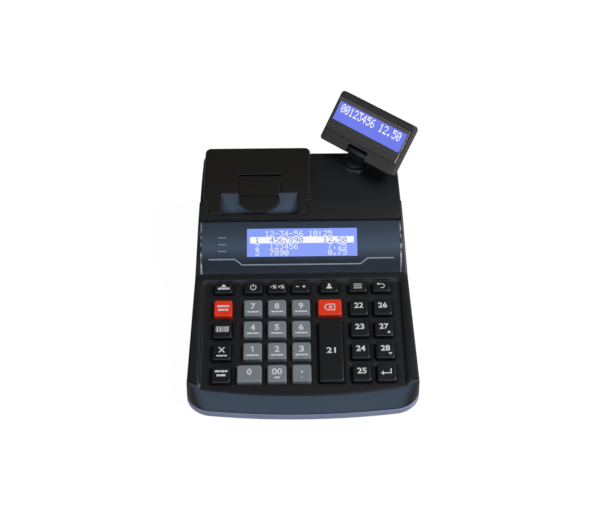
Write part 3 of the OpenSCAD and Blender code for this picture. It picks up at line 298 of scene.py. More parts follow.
# The small lens's print is dark: its warm grey is a painted sheen of the warm left light, and its lighter top
# is a painted reflection.
COATS["head_print_sheen"] = print_with_painted_light("Dark print behind the small lens, with painted sheen", 85.9, 107.6, [
    (0.0, "#3f3a35"), (0.12, "#4b453f"), (0.84, "#4b453f"), (0.9, "#6e6560"), (1.0, "#786e69")])
COATS["display_blue"] = glow("Blue backlight", "#8da2ff", 1.09, "#9bafff")
COATS["display_deep"] = glow("Deep blue backlight", "#727cee", 1.0, "#7a88f4")
COATS["display_white"] = glow("Lit white dots", "#ffffff", 1.15)
COATS["ink_white"] = ink("White ink", "#e9edf2")
COATS["ink_pale"] = ink("Pale grey ink", "#c3c8cd")
COATS["lens_end_glint"] = glint("Painted glint at the lens's ends", "#343b4c", "#d8dce4")
COATS["head_edge"] = ink("Dark line round the small lens", "#151413", 0.4)
COATS["head_glint"] = glint("Light at the small lens's end", "#4b4643", "#d5d0cd")
COATS["display_ink"] = glow("Blue figures", "#4a58d8", 1.0)
print("materials:", len(COATS))

# %% [markdown]
# ## Every engineering part gets its material
# Parts whose shape is already right keep it. Only the surface is set, in the object's own slot.

# %% Materials on the engineering parts
NODE_COATS = {
    "bottom_case": "case_bottom", "top_case": "case_top", "display_lens": "smoked_lens",
    "operator_lcd": "socket_black", "main_board": "board_green", "keypad_board": "board_green",
    "keypad_mat": "silicone", "printer_frame": "frame_plastic", "print_head": "steel",
    "stepper_motor": "motor_can", "motor_pinion": "brass", "idler_gear": "acetal",
    "platen_roller": "platen_rubber", "platen_gear": "acetal", "paper_roll": "paper",
    "printer_cover": "cover_black", "release_lever": "cover_black", "lever_pin": "steel",
    "tear_bar": "steel", "display_neck": "head_rear", "display_hinge_pin": "steel",
    "customer_display_front": "head_front", "customer_display_rear": "head_rear",
    "customer_lens": "smoked_lens", "customer_lcd": "socket_black", "rubber_feet": "foot_rubber",
    "case_screws": "steel",
}
RED = ("key_void", "key_clear")
GREY = ("key_7", "key_8", "key_9", "key_4", "key_5", "key_6", "key_1", "key_2", "key_3", "key_0", "key_00",
        "key_point")


def key_coat(name):
    """The material of a key's cap: red, grey or black."""
    return "key_red" if name in RED else "key_grey" if name in GREY else "key_black"


for name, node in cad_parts.items():
    coat = COATS[NODE_COATS.get(name) or key_coat(name)]
    for place in node.material_slots:
        place.link = "OBJECT"
        place.material = coat
print("parts with a material:", len(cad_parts))

# %% [markdown]
# ## Shapes
# Every new piece is a net of points worked out by a formula. A ring net is carried along a path, and
# a flat or gently curved field is filled between its outline and its holes.

# %% Nets, outlines and pieces
def ring_faces(rows, count, closed=True):
    """Fours of points between neighbouring rows of a net with count points in each row."""
    row = np.arange(rows - 1)[:, None]*count
    first = np.arange(count if closed else count - 1)[None, :]
    after = (first + 1) % count
    net = np.stack([row + first, row + after, row + count + after, row + count + first], axis=-1)
    return net.reshape(-1, 4)


def ring_net(rows):
    """A net carried through closed rows of points that have the same length."""
    return np.concatenate(rows), ring_faces(len(rows), len(rows[0]))


def unit(angle):
    """Points on a circle of radius 1 at some angles."""
    return np.stack([np.cos(angle), np.sin(angle)], axis=-1)


def at_height(flat, height):
    """Points of a plan at a height, which is one number or one for each point."""
    return np.concatenate([flat, np.broadcast_to(height, len(flat))[:, None]], axis=1)


def joined(parts):
    """Points and faces of several parts as one list of each."""
    points, faces, start = [], [], 0
    for some, net in parts:
        points.append(np.asarray(some, float))
        faces += [[int(i) + start for i in face] for face in net]
        start += len(some)
    return np.concatenate(points), faces


def new_mesh(name, points, faces):
    """A mesh from points in mm."""
    mesh = bpy.data.meshes.new(name)
    mesh.from_pydata((points*MM).tolist(), [], faces)
    return mesh


def face_outwards(mesh, join=False):
    """Turns each closed part's faces outwards, after joining its seams where asked."""
    shape = bmesh.new()
    shape.from_mesh(mesh)
    if join:
        bmesh.ops.remove_doubles(shape, verts=shape.verts, dist=0.002*MM)
    bmesh.ops.recalc_face_normals(shape, faces=shape.faces)
    shape.to_mesh(mesh)
    shape.free()


def put(name, parts, coat, body="root", hides=(), sharp=32.0):
    """Makes one piece of several (points in mm, faces): joins seams, turns faces outwards, smooths."""
    mesh = new_mesh(name, *joined(parts))
    face_outwards(mesh, join=True)
    count = len(mesh.polygons)
    middle, normal, area = np.empty(3*count), np.empty(3*count), np.empty(count)
    mesh.polygons.foreach_get("center", middle)
    mesh.polygons.foreach_get("normal", normal)
    mesh.polygons.foreach_get("area", area)
    middle, normal = middle.reshape(-1, 3), normal.reshape(-1, 3)
    if (((middle - middle.mean(axis=0))*normal).sum(axis=1)*area).sum() < 0:
        mesh.flip_normals()
    return finish_piece(name, mesh, coat, body, hides, sharp)


def finish_piece(name, mesh, coat, body, hides, sharp):
    """Puts a mesh in the scene with its material, its body and the engineering parts it stands for."""
    mesh.shade_smooth()
    mesh.set_sharp_from_angle(angle=np.radians(sharp))
    mesh.materials.append(COATS[coat])
    thing = bpy.data.objects.new(name, mesh)
    bpy.context.collection.objects.link(thing)
    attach(thing, body)
    if hides:
        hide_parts(*hides)
    return thing


def rounded(half_w, half_d, radius, steps=5):
    """Points round a rectangle with round corners: a quarter circle at each of its four corners."""
    turn = np.linspace(0, np.pi/2, steps + 1)
    arc = unit(turn)*radius
    quarter = [np.array([[1, 0], [0, 1]]), np.array([[0, 1], [-1, 0]]), np.array([[-1, 0], [0, -1]]),
               np.array([[0, -1], [1, 0]])]
    corner = np.array([[1, 1], [-1, 1], [-1, -1], [1, -1]])*(half_w - radius, half_d - radius)
    return np.concatenate([arc @ turn_by + at for turn_by, at in zip(quarter, corner)])


def circle(middle, radius, count=48):
    """Points round a circle."""
    turn = np.arange(count)/count*2*np.pi
    return np.asarray(middle) + radius*unit(turn)


def moved_out(loop, gap):
    """An outline moved outwards by gap: each corner goes along the middle of its two sides' normals."""
    side = np.roll(loop, -1, axis=0) - loop
    out = np.stack([side[:, 1], -side[:, 0]], axis=-1)/np.linalg.norm(side, axis=1)[:, None]
    before = np.roll(out, 1, axis=0)
    return loop + gap*(out + before)/(1 + (out*before).sum(axis=1))[:, None]


def within(points, loop):
    """Which points lie inside an outline: a ray to the right crosses it an odd number of times."""
    x, y = points[:, 0][:, None], points[:, 1][:, None]
    x0, y0 = loop[:, 0][None], loop[:, 1][None]
    x1, y1 = np.roll(loop[:, 0], -1)[None], np.roll(loop[:, 1], -1)[None]
    rises = np.where(np.abs(y1 - y0) < 1e-12, 1e-12, y1 - y0)
    crossed = ((y0 > y) != (y1 > y)) & (x < (x1 - x0)*(y - y0)/rises + x0)
    return crossed.sum(axis=1) % 2 == 1


def distance_to(points, loop):
    """Distance from each point to the nearest side of an outline."""
    a, b = loop[None], np.roll(loop, -1, axis=0)[None]
    along = b - a
    t = ((points[:, None] - a)*along).sum(-1)/np.maximum((along**2).sum(-1), 1e-12)
    near = a + np.clip(t, 0, 1)[..., None]*along
    return np.linalg.norm(points[:, None] - near, axis=-1).min(axis=1)


def field(outline, holes, lines, pitch):
    """Fills an outline with triangles round its holes and along its lines, with points at a pitch."""
    low, high = outline.min(axis=0), outline.max(axis=0)
    grid = np.stack(np.meshgrid(np.arange(low[0], high[0], pitch), np.arange(low[1], high[1], pitch)), -1)
    grid = grid.reshape(-1, 2)
    grid = grid[within(grid, outline)]
    for loop in [outline] + list(holes) + [np.concatenate([line, line[::-1]]) for line in lines]:
        grid = grid[distance_to(grid, loop) > 0.4*pitch]
    for hole in holes:
        grid = grid[~within(grid, hole)]
    points, edges, start = [], [], 0
    for loop in [outline] + list(holes):
        index = np.arange(len(loop)) + start
        points.append(loop)
        edges.append(np.stack([index, np.roll(index, -1)], axis=-1))
        start += len(loop)
    for line in lines:
        index = np.arange(len(line)) + start
        points.append(line)
        edges.append(np.stack([index[:-1], index[1:]], axis=-1))
        start += len(line)
    points.append(grid)
    every = [Vector(p) for p in np.concatenate(points).tolist()]
    made = delaunay_2d_cdt(every, np.concatenate(edges).tolist(), [], 0, 1e-5)
    flat = np.array([tuple(p) for p in made[0]])
    net = np.array([list(face) for face in made[2]])
    middle = flat[net].mean(axis=1)
    keep = within(middle, outline)
    for hole in holes:
        keep &= ~within(middle, hole)
    return flat, net[keep]


def sheet(place, outline, holes, pitch):
    """An outline filled round its holes and laid in its place by a function."""
    flat, net = field(outline, holes, [], pitch)
    return place(flat), net


# %% [markdown]
# ## The form of the case
# Seen from above the case is a slow bow at the front, two leaning and tapering sides and a straight
# back. Each height has its own outline, because the front leans back and the sides lean in.

# %% Outline at any height, and the height of the top
def side_x(y, z):
    """Half of the case's width at distance y and height z: a straight taper and a straight draft."""
    return HALF_W - (y - CORNER_Y)*np.tan(TAPER) - z*np.tan(DRAFT)


# A hair parts the two rows of points that make a sharp step.
SLOT_HALF, HAIR = 6.0, 0.03
slots_x = [PAPER_X - 30.0, PAPER_X + 26.5]
front_x = np.linspace(-CORNER_X, CORNER_X, 49)
corner_t = np.linspace(0, 1, 42)[1:-1]
side_y = np.sort(np.concatenate([np.linspace(CORNER_Y, DEPTH - REAR_R, 62), [
    FOOT[0], HEAD[0], STEP_Y - HAIR, STEP_Y + HAIR]]))
rear_t = np.linspace(0, np.pi/2, 12)[1:-1]
rear_x = np.sort(np.concatenate([np.linspace(-74, 74, 33)] + [
    [x + s*SLOT_HALF + d for s in (-1, 1) for d in (-HAIR, HAIR)] for x in slots_x]))
groups = [(0, front_x, 1), (1, corner_t, 1), (2, side_y, 1), (3, rear_t, 1), (4, rear_x[::-1], 1),
          (3, rear_t[::-1], -1), (2, side_y[::-1], -1), (1, corner_t[::-1], -1)]
KIND = np.concatenate([np.full(len(v), k) for k, v, s in groups])
VALUE = np.concatenate([v for k, v, s in groups])
HAND = np.concatenate([np.full(len(v), s) for k, v, s in groups])


def outline(z):
    """The case's outline at height z: bow, corner curves, sides, round rear corners and back."""
    z = np.broadcast_to(np.asarray(z, float), KIND.shape)
    bow = BOW_R - np.maximum(z - SEAM_Z, 0)*BOW_LEAN
    front_y = BOW_R - np.sqrt(bow**2 - VALUE**2*(KIND == 0))
    start_y = BOW_R - np.sqrt(bow**2 - CORNER_X**2)
    lean = CORNER_X/np.sqrt(bow**2 - CORNER_X**2)
    end_x = side_x(CORNER_Y, z)
    reach = HALF_W - z*np.tan(DRAFT) - (start_y - CORNER_X*lean - CORNER_Y)*np.tan(TAPER)
    turn_x = reach/(1 + lean*np.tan(TAPER))
    turn_y = start_y + lean*(turn_x - CORNER_X)
    t = np.where(KIND == 1, VALUE, 0)
    w0, w1, w2 = (1 - t)**2, 2*0.72*t*(1 - t), t**2
    corner_x = (w0*CORNER_X + w1*turn_x + w2*end_x)/(w0 + w1 + w2)
    corner_y = (w0*start_y + w1*turn_y + w2*CORNER_Y)/(w0 + w1 + w2)
    rear_middle = side_x(DEPTH - REAR_R, z) - REAR_R
    kinds = [KIND == kind for kind in range(5)]
    x = np.select(kinds, [
        VALUE, HAND*corner_x, HAND*side_x(VALUE, z), HAND*(rear_middle + REAR_R*np.cos(VALUE)), VALUE])
    y = np.select(kinds, [
        front_y, corner_y, VALUE, DEPTH - REAR_R + REAR_R*np.sin(VALUE), np.full(len(KIND), DEPTH)])
    return np.stack([x, y], axis=-1)


def inward(loop):
    """Unit normals of an outline, pointing into it."""
    run = np.roll(loop, -1, axis=0) - np.roll(loop, 1, axis=0)
    return np.stack([-run[:, 1], run[:, 0]], axis=-1)/np.linalg.norm(run, axis=1)[:, None]


def deck_height(y, lift=0.0):
    """Height of the sloping keyboard plane at y, lifted along its normal."""
    return DECK_Z + (y - DECK_Y)*np.tan(SLOPE) + lift/np.cos(SLOPE)


def crown_height(y, radius):
    """Height of the crowned top at y."""
    return CROWN_C[1] + np.sqrt(radius**2 - (y - CROWN_C[0])**2)


def ease(t):
    """A soft step from 0 to 1."""
    t = np.clip(t, 0, 1)
    return t*t*(3 - 2*t)


RECESS_R = 4.0


def into_recess(x, y):
    """How far a point is inside the keyboard's recess, a rectangle with round rear corners."""
    across = np.abs(x) - (DECK_HALF - RECESS_R)
    along = (y - DECK_Y)/np.cos(SLOPE) - (DECK_LEN - RECESS_R)
    outside = np.hypot(np.maximum(across, 0), np.maximum(along, 0))
    return RECESS_R - outside - np.minimum(np.maximum(across, along), 0)


SEAT_HALF = 83.4
SLOT_Z, SLOT_Y = 59.78, 225.4


def top_height(x, y):
    """Height of the case's top: rims, sunk keyboard, lens seat, crown, step, rear deck, round seat."""
    lens_run = (HEAD[1] - FOOT[1])/(HEAD[0] - FOOT[0])
    z = np.where(y < FOOT[0], deck_height(y, SINK), FOOT[1] + (y - FOOT[0])*lens_run)
    z = np.where(y > HEAD[0], crown_height(y, CROWN_R), z)
    z = np.where(y > STEP_Y, crown_height(np.minimum(y, DEPTH), REAR_DECK_R), z)
    z = z - np.where(y < FOOT[0], ease((into_recess(x, y) + 0.6)/1.2), 0)*SINK/np.cos(SLOPE)
    bed = LENS_C[1] + np.sqrt(np.maximum((LENS_R - LENS_T - 0.1)**2 - (y - LENS_C[0])**2, 0))
    bed = np.minimum(bed, np.where(y < FOOT[0] + 1.76, FOOT[1] - (y - FOOT[0])*1.09, 99))
    in_bed = (np.abs(x) < SEAT_HALF) & (y > FOOT[0]) & (y < HEAD[0])
    z = np.where(in_bed, bed, z)
    r = np.hypot(x - SWIVEL[0], y - SWIVEL[1])
    z = np.where(r < SEAT_R + 0.5, np.maximum(z, SEAT_Z - ease((r - SEAT_R + 0.3)/0.8)*0.8), z)
    for middle in slots_x:
        z = np.where((np.abs(x - middle) < SLOT_HALF) & (y > SLOT_Y), SLOT_Z, z)
    return z


level = np.full(len(KIND), 20.0)
for _ in range(60):
    there = outline(level)
    level = 0.5*level + 0.5*top_height(there[:, 0], there[:, 1])
edge_xy = outline(level)
print("top edge of the case, mm:", round(level.min(), 2), "to", round(level.max(), 2))

# %% [markdown]
# ## The top case
# One moulding: band, rims, keyboard recess, lens seat, crown and rear deck. Its wall rises from a soft
# groove at the seam, turns over a small radius and runs into the top. Holes let the keys through.

# %% The wall of the top case
inner = inward(edge_xy)
behind = np.clip((edge_xy[:, 1] - 205)/20, 0, 1)
leg = 1.3 + 0.3*np.clip((edge_xy[:, 1] - 15)/10, 0, 1) + 1.3*behind
at_slot = np.any([np.abs(edge_xy[:, 0] - x) < SLOT_HALF for x in slots_x], axis=0) & (edge_xy[:, 1] > 230)
leg = np.where(at_slot, 0.6, leg)
below = outline(level - 0.5)
down = at_height(below - edge_xy, -0.5)
down /= np.linalg.norm(down, axis=1)[:, None]
edge = at_height(edge_xy, level)
start = edge + down*leg[:, None]


def on_top(gap):
    """Points on the top, a gap in from its edge."""
    flat = edge_xy + inner*gap[:, None]
    return at_height(flat, top_height(flat[:, 0], flat[:, 1]))


def wall_row(z, gap=0.0):
    """Points on the wall at height z, set in by a gap."""
    flat = outline(z)
    return at_height(flat + inward(flat)*gap, z)


end = on_top(leg)
bend = np.arccos(np.clip(((end - edge)*(start - edge)).sum(1)/(
    np.linalg.norm(end - edge, axis=1)*np.linalg.norm(start - edge, axis=1)), -1, 1))
weight = np.sin(bend/2)
GROOVE_TOP = SEAM_Z + 0.9
rows = [wall_row(SEAM_Z, 1.6), wall_row(SEAM_Z, 0.9), wall_row(SEAM_Z + 0.12, 0.5),
        wall_row(SEAM_Z + 0.4, 0.17), wall_row(GROOVE_TOP, 0.0)]
rows += [wall_row(GROOVE_TOP + (start[:, 2] - GROOVE_TOP)*t) for t in (0.25, 0.5, 0.75)] + [start]
for t in np.linspace(0, 1, 8)[1:-1]:
    w0, w1, w2 = (1 - t)**2, (2*t*(1 - t)*weight)[:, None], t**2
    rows.append((w0*start + w1*edge + w2*end)/(w0 + w1 + w2))
rows += [end, on_top(leg + 0.5), on_top(leg + 1.2)]
wall = np.stack(rows)
wall_net = np.array(ring_faces(len(rows), len(KIND)))
print("wall rows:", len(rows), "columns:", len(KIND))

# %% Openings for the sockets in the rear wall
# Each socket: X of its middle, its width and height, its cavity's width and height. The last one is
# round, which the two noughts say.
SOCKETS = [(24.0, 15.0, 13.0, 11.6, 8.0), (44.0, 16.0, 13.0, 12.0, 8.0), (62.0, 9.0, 11.0, 0.0, 0.0)]
SOCKET_LOW, SOCKET_GAP, WALL_T = 13.6, 0.2, 2.4


def at_rear(loop, y):
    """Puts an outline in X and Z at a depth y."""
    return np.stack([loop[:, 0], np.full(len(loop), y), loop[:, 1]], axis=-1)


def socket_edge(socket, gap):
    """A socket's outline in X and Z, grown by a gap."""
    x, wide, tall = socket[:3]
    return rounded(wide/2 + gap, tall/2 + gap, 0.4, 2) + (x, SOCKET_LOW + tall/2)


LOW_ROW, HIGH_ROW = 4, 8
rear = np.flatnonzero(KIND == 4)
row_of, column_of = np.divmod(np.arange(len(wall_net)), len(KIND))
panel = (row_of >= LOW_ROW) & (row_of < HIGH_ROW) & (column_of >= rear[0]) & (column_of < rear[-1])
wall_part = (wall.reshape(-1, 3), wall_net[~panel])
inner_rows = wall[LOW_ROW + 1:HIGH_ROW]
panel_line = np.concatenate([wall[LOW_ROW, rear], inner_rows[:, rear[-1]], wall[HIGH_ROW, rear[::-1]],
                             inner_rows[::-1, rear[0]]])[:, [0, 2]]
openings = [socket_edge(socket, SOCKET_GAP) for socket in SOCKETS]
wall_parts = [sheet(lambda flat: at_rear(flat, DEPTH), panel_line, openings, 4.0)]
wall_parts += [ring_net([at_rear(loop, DEPTH), at_rear(loop, DEPTH - WALL_T)]) for loop in openings]
print("openings in the rear wall:", len(openings))

# %% Holes in the top case
KEYS = {}
columns = [-63.3, -39.3, -20.1, -0.9, 22.3, 45.5, 64.7]
key_rows = [17.0, 36.2, 55.4, 74.6, 93.3]
KEY_W, WIDE_KEY_W, SMALL_KEY_D, TALL_KEY_D = 14.9, 19.3, 9.7, 53.3
for row, names in enumerate([
        ["subtotal", "0", "00", "point", None, "t5", "enter"],
        ["times", "1", "2", "3", "t1", "t4", "t8"],
        ["code", "4", "5", "6", None, "t3", "t7"],
        ["void", "7", "8", "9", "clear", "t2", "t6"],
        ["feed", "power", "percent", "minus", "clerk", "menu", "return"]]):
    for column, name in enumerate(names):
        if name:
            wide = WIDE_KEY_W if name in ("0", "clear", "t1") else KEY_W
            deep = SMALL_KEY_D if row == 4 else TALL_KEY_D if name == "t1" else KEY_W
            shift = -2.2 if name == "0" else 0.0
            KEYS["key_" + name] = (columns[column] + shift, key_rows[row], wide, deep)
DECK_RUN = np.array([np.cos(SLOPE), np.sin(SLOPE)])
DECK_OUT = np.array([-np.sin(SLOPE), np.cos(SLOPE)])


def on_deck(points):
    """Moves points given on the keyboard (across, up the slope, off it) to their place on the case."""
    points = np.asarray(points, float)
    yz = np.array([DECK_Y, DECK_Z]) + points[..., 1:2]*DECK_RUN + points[..., 2:3]*DECK_OUT
    return np.concatenate([points[..., :1], yz], axis=-1)


def key_hole(key, gap):
    """A key's hole in plan, with its sides moved out by gap."""
    x, row_at, wide, deep = KEYS[key]
    flat = rounded(wide/2 + 0.35 + gap, deep/2 + 0.35 + gap, 1.1 + gap)
    return flat*(1, np.cos(SLOPE)) + (x, DECK_Y + row_at*np.cos(SLOPE))


bay = np.array([[-76.8, 162.66], [4.3, 162.66], [4.3, STEP_Y - HAIR], [4.3, STEP_Y + HAIR], [4.3, 174.6],
                [1.95, 174.6], [1.95, 222.75], [-69.0, 222.75], [-69.0, 174.6], [-76.8, 174.6],
                [-76.8, STEP_Y + HAIR], [-76.8, STEP_Y - HAIR]])
lens_normal = np.array([np.cos(LENS_MID), np.sin(LENS_MID)])
lens_run = np.array([np.sin(LENS_MID), -np.cos(LENS_MID)])


def lcd_hole(gap):
    """The display's window through the seat, in plan."""
    flat = rounded(45.9 + gap, 12.8 + gap, 0.8 + gap)
    middle = LENS_C + (LENS_R - LENS_T - 0.1)*lens_normal + 4.3*lens_run
    return flat*(1, lens_run[0]) + (0.85, middle[0])


def sleeve(hole, round_off, depth, direction):
    """The rim and wall of a hole: a quarter circle over its edge, then straight in."""
    made = []
    for turn in np.linspace(0, np.pi/2, 4):
        flat = hole(round_off*(1 - np.sin(turn)))
        height = top_height(flat[:, 0], flat[:, 1]) - round_off*(1 - np.cos(turn))
        made.append(at_height(flat, height))
    made.append(made[-1] + np.array(direction)*depth)
    return ring_net(made)


INTO_DECK = (0.0, -DECK_OUT[0], -DECK_OUT[1])
SOFT = 0.3
holes = [(lambda gap, key=key: key_hole(key, gap), 2.5, INTO_DECK) for key in KEYS]
holes += [(lambda gap: moved_out(bay, gap), 2.4, (0, 0, -1)),
          (lcd_hole, 2.4, (0, -lens_normal[0], -lens_normal[1])),
          (lambda gap: circle(SWIVEL, NECK_HOLE_R + gap), 5.0, (0, 0, -1))]
sleeves = [sleeve(hole, SOFT, depth, way) for hole, depth, way in holes]
print("holes through the top case:", len(holes))

# %% The field of the top case
def recess_line(gap):
    """A line along the recess's border, moved outwards by gap: up one side, round, across and down."""
    r = RECESS_R + gap
    turn = np.linspace(0, np.pi/2, 9)
    corner = (DECK_HALF - RECESS_R, DECK_LEN - RECESS_R) + r*unit(turn)
    up = np.linspace(11.5, DECK_LEN - RECESS_R - 1, 30)
    side_part = np.stack([np.full(30, DECK_HALF + gap), up], axis=-1)
    back = np.stack([np.linspace(DECK_HALF - RECESS_R - 1, 0, 24), np.full(24, DECK_LEN + gap)], axis=-1)
    half = np.concatenate([side_part, corner, back])
    flat = np.concatenate([half, (half*(-1, 1))[::-1][1:]])
    return np.stack([flat[:, 0], DECK_Y + flat[:, 1]*np.cos(SLOPE)], axis=-1)


def level_line(y, x0, x1, pitch=4.0):
    """A straight line across the case at y."""
    x = np.linspace(x0, x1, int(abs(x1 - x0)/pitch) + 2)
    return np.stack([x, np.full(len(x), y)], axis=-1)


def seat_loop(gap):
    """The lens seat's border in plan, moved outwards by gap, with points all along its sides."""
    half, y0, y1 = SEAT_HALF + gap, FOOT[0] - gap, HEAD[0] + gap
    up = np.stack([np.full(24, half), np.linspace(y0, y1, 24)], axis=-1)
    across = level_line(y1, half, -half)[1:-1]
    return np.concatenate([up, across, (up*(-1, 1))[::-1], across[::-1]*(1, 0) + (0, y0), up[:1]])


top_line = wall[-1][:, :2]
lines = [recess_line(gap) for gap in (-0.6, -0.4, -0.2, 0.0, 0.2, 0.4, 0.6)]
lines += [seat_loop(HAIR), seat_loop(-HAIR), level_line(FOOT[0] + 1.76, -83, 83)]
for gap in (-HAIR, HAIR):
    lines += [level_line(STEP_Y + gap, -82.6, -77.6), level_line(STEP_Y + gap, 5.1, 82.6)]
for radius in (SEAT_R - 0.3, SEAT_R, SEAT_R + 0.25, SEAT_R + 0.5):
    seat_arc = circle(SWIVEL, radius, 64)
    seat_arc = seat_arc[seat_arc[:, 1] < 227.6]
    widest = int(np.argmax(np.linalg.norm(np.diff(seat_arc, axis=0), axis=1)))
    lines.append(np.roll(seat_arc, -widest - 1, axis=0))
for middle in slots_x:
    for gap in (-HAIR, HAIR):
        x0, x1 = middle - SLOT_HALF - gap, middle + SLOT_HALF + gap
        lines.append(np.array([[x0, 227.2], [x0, SLOT_Y - gap], [x1, SLOT_Y - gap], [x1, 227.2]]))
flat, net = field(top_line, [hole(SOFT) for hole, depth, way in holes], lines, 3.6)
top_part = (at_height(flat, top_height(flat[:, 0], flat[:, 1])), net)
case_upper = put("case_upper", [wall_part, top_part] + wall_parts + sleeves, "case_top", "root",
                 ["top_case"], 44.0)
print("top case faces:", len(case_upper.data.polygons))

# %% [markdown]
# ## The sockets at the rear
# Two square modular sockets and a round power inlet, moulded black and soldered to the edge of the board.
# Each is a hollow block with its mouth to the rear, so it is drawn as a face round a sunk cavity.

# %% Sockets and the power inlet
MOUTH_Y, CAVITY_Y, PIN_Y = 231.15, 221.25, 230.15
SKIN, SILL, JACK_R, JACK_UP, PIN_R = 0.05, 2.5, 2.7, 5.5, 1.0
socket_parts = []
for socket in SOCKETS:
    edge_of = socket_edge(socket, SKIN)
    x, cavity_w, cavity_h = socket[0], socket[3]/2 - SKIN, socket[4]/2 - SKIN
    if cavity_w > 0:
        mouth = rounded(cavity_w, cavity_h, 0.3, 2) + (x, SOCKET_LOW + SILL + socket[4]/2)
    else:
        mouth = circle((x, SOCKET_LOW + JACK_UP), JACK_R, 32)
    socket_parts += [sheet(lambda flat: at_rear(flat, MOUTH_Y), edge_of, [mouth], 3.0),
                     sheet(lambda flat: at_rear(flat, CAVITY_Y), mouth, [], 3.0),
                     ring_net([at_rear(edge_of, MOUTH_Y), at_rear(edge_of, CAVITY_Y)]),
                     ring_net([at_rear(mouth, MOUTH_Y), at_rear(mouth, CAVITY_Y)])]
rear_sockets = put("rear_sockets", socket_parts, "socket_black")
pin = circle((SOCKETS[2][0], SOCKET_LOW + JACK_UP), PIN_R, 24)
put("inlet_pin", [sheet(lambda flat: at_rear(flat, PIN_Y), pin, [], 1.0),
                  ring_net([at_rear(pin, PIN_Y), at_rear(pin, CAVITY_Y)])], "steel")
print("socket faces:", len(rear_sockets.data.polygons))

# %% [markdown]
# ## The bottom case
# A shallow tray whose pale blue-grey is partly the plastic's own tone and partly a painted reflection of
# the pale floor. Only a narrow stripe of it shows under the seam, rounded under into the base. It stands on
# four rubber feet.

# %% The bottom case
base_rows = [wall_row(SEAM_Z, 1.6), wall_row(SEAM_Z, 0.55), wall_row(SEAM_Z - 0.05, 0.25),
             wall_row(SEAM_Z - 0.2, 0.07), wall_row(SEAM_Z - 0.45, 0.0), wall_row(8.0), wall_row(6.2)]
for turn in np.linspace(0, np.pi/2, 7)[1:]:
    gap = 3.0*(1 - np.cos(turn))
    base_rows.append(wall_row(6.2 - 3.2*np.sin(turn), gap))
base_rows.append(wall_row(FOOT_Z, 3.8))
base = np.stack(base_rows)
base_line = base[-1][:, :2]
feet = [(s*x, y) for s in (-1, 1) for x, y in ((67.3, 24.0), (63.2, 213.5))]
screws = [(s*x, y) for s in (-1, 1) for x, y in ((81.9, 29.67), (78.2, 219.5))]
wells = [(lambda gap, at=at: circle(at, 6.5 + gap), 0.6) for at in feet]
wells += [(lambda gap, at=at: circle(at, 2.9 + gap, 32), 2.4) for at in screws]
flat, net = field(base_line, [well(0.0) for well, depth in wells], [], 9.0)
under = (at_height(flat, FOOT_Z), net)
pots = []
for well, depth in wells:
    ring = well(0.0)
    low = at_height(ring, FOOT_Z)
    high = low + (0, 0, depth)
    shut = np.concatenate([[ring.mean(axis=0).tolist() + [FOOT_Z + depth]], high])
    fan = np.arange(len(ring))
    pots.append(ring_net([low, high]))
    pots.append((shut, np.stack([np.zeros(len(ring), int), fan + 1, (fan + 1) % len(ring) + 1], axis=-1)))
case_lower = put("case_lower", [(base.reshape(-1, 3), ring_faces(len(base_rows), len(KIND))), under] + pots,
                 "case_bottom", hides=["bottom_case"])
print("bottom case faces:", len(case_lower.data.polygons))

# %% [markdown]
# ## The keys
# Each key is a hollow cap with leaning sides, a soft edge and a very slightly dished top, on a flange
# that keeps it under the deck. All 33 are the same recipe at two widths and three depths.

# %% Key caps
KEY_RISE, DISH = 4.0, 0.12


def key_top(x, y, half_w, half_d):
    """Height of a key's dished top over the deck."""
    share = np.clip((x/half_w)**2 + (y/half_d)**2, 0, 2)/2
    return KEY_RISE - DISH*(1 - share)


def key_cap(key):
    """A key as rings from its flange up its leaning sides, over the edge and in to the middle."""
    x, row_at, wide, deep = KEYS[key]
    half_w, half_d = wide/2, deep/2
    rings = [(1.2, 1.4, -3.5), (1.2, 1.4, -2.5), (0.0, 1.3, -2.5), (0.0, 1.3, 0.0), (-0.12, 1.5, 1.6),
             (-0.24, 1.7, 3.1)]
    rings += [(-0.24 - 0.9*(1 - np.cos(t)), 1.7 + 0.4*(1 - np.cos(t)), 3.1 + 0.84*np.sin(t))
              for t in np.linspace(0, np.pi/2, 7)[1:]]
    made = []
    for out, radius, height in rings:
        loop = rounded(half_w + out, half_d + out, radius, 6)
        made.append(at_height(loop, height))
    rim = made[-1][:, :2]
    for share in (0.88, 0.7, 0.45, 0.2):
        loop = rim*share
        made.append(at_height(loop, key_top(loop[:, 0], loop[:, 1], half_w, half_d)))
    count = len(rim)
    last = np.arange(count) + (len(made) - 1)*count
    points = np.concatenate(made + [np.array([[0, 0, KEY_RISE - DISH]])])
    points[:, :2] += (x, row_at)
    cap = np.stack([last, np.roll(last, -1), np.full(count, len(points) - 1)], axis=-1)
    faces = ring_faces(len(made), count).tolist() + cap.tolist() + [list(range(count))[::-1]]
    return on_deck(points), faces


def put_key(key):
    """Puts one key cap in its hole, riding on its own body."""
    points, faces = key_cap(key)
    mesh = new_mesh("cap_" + key, points, faces)
    return finish_piece("cap_" + key, mesh, key_coat(key), key, [key], 40.0)


caps = [put_key(key) for key in KEYS]
print("keys:", len(caps), "faces each:", len(caps[0].data.polygons))

# %% [markdown]
# ## Printed legends
# Figures and signs are pad-printed on each cap in white ink. Here every mark is a thin flat shape: a
# letter's outline, a bar, a ring or a small polygon. It lies on the dished top and moves with its key.

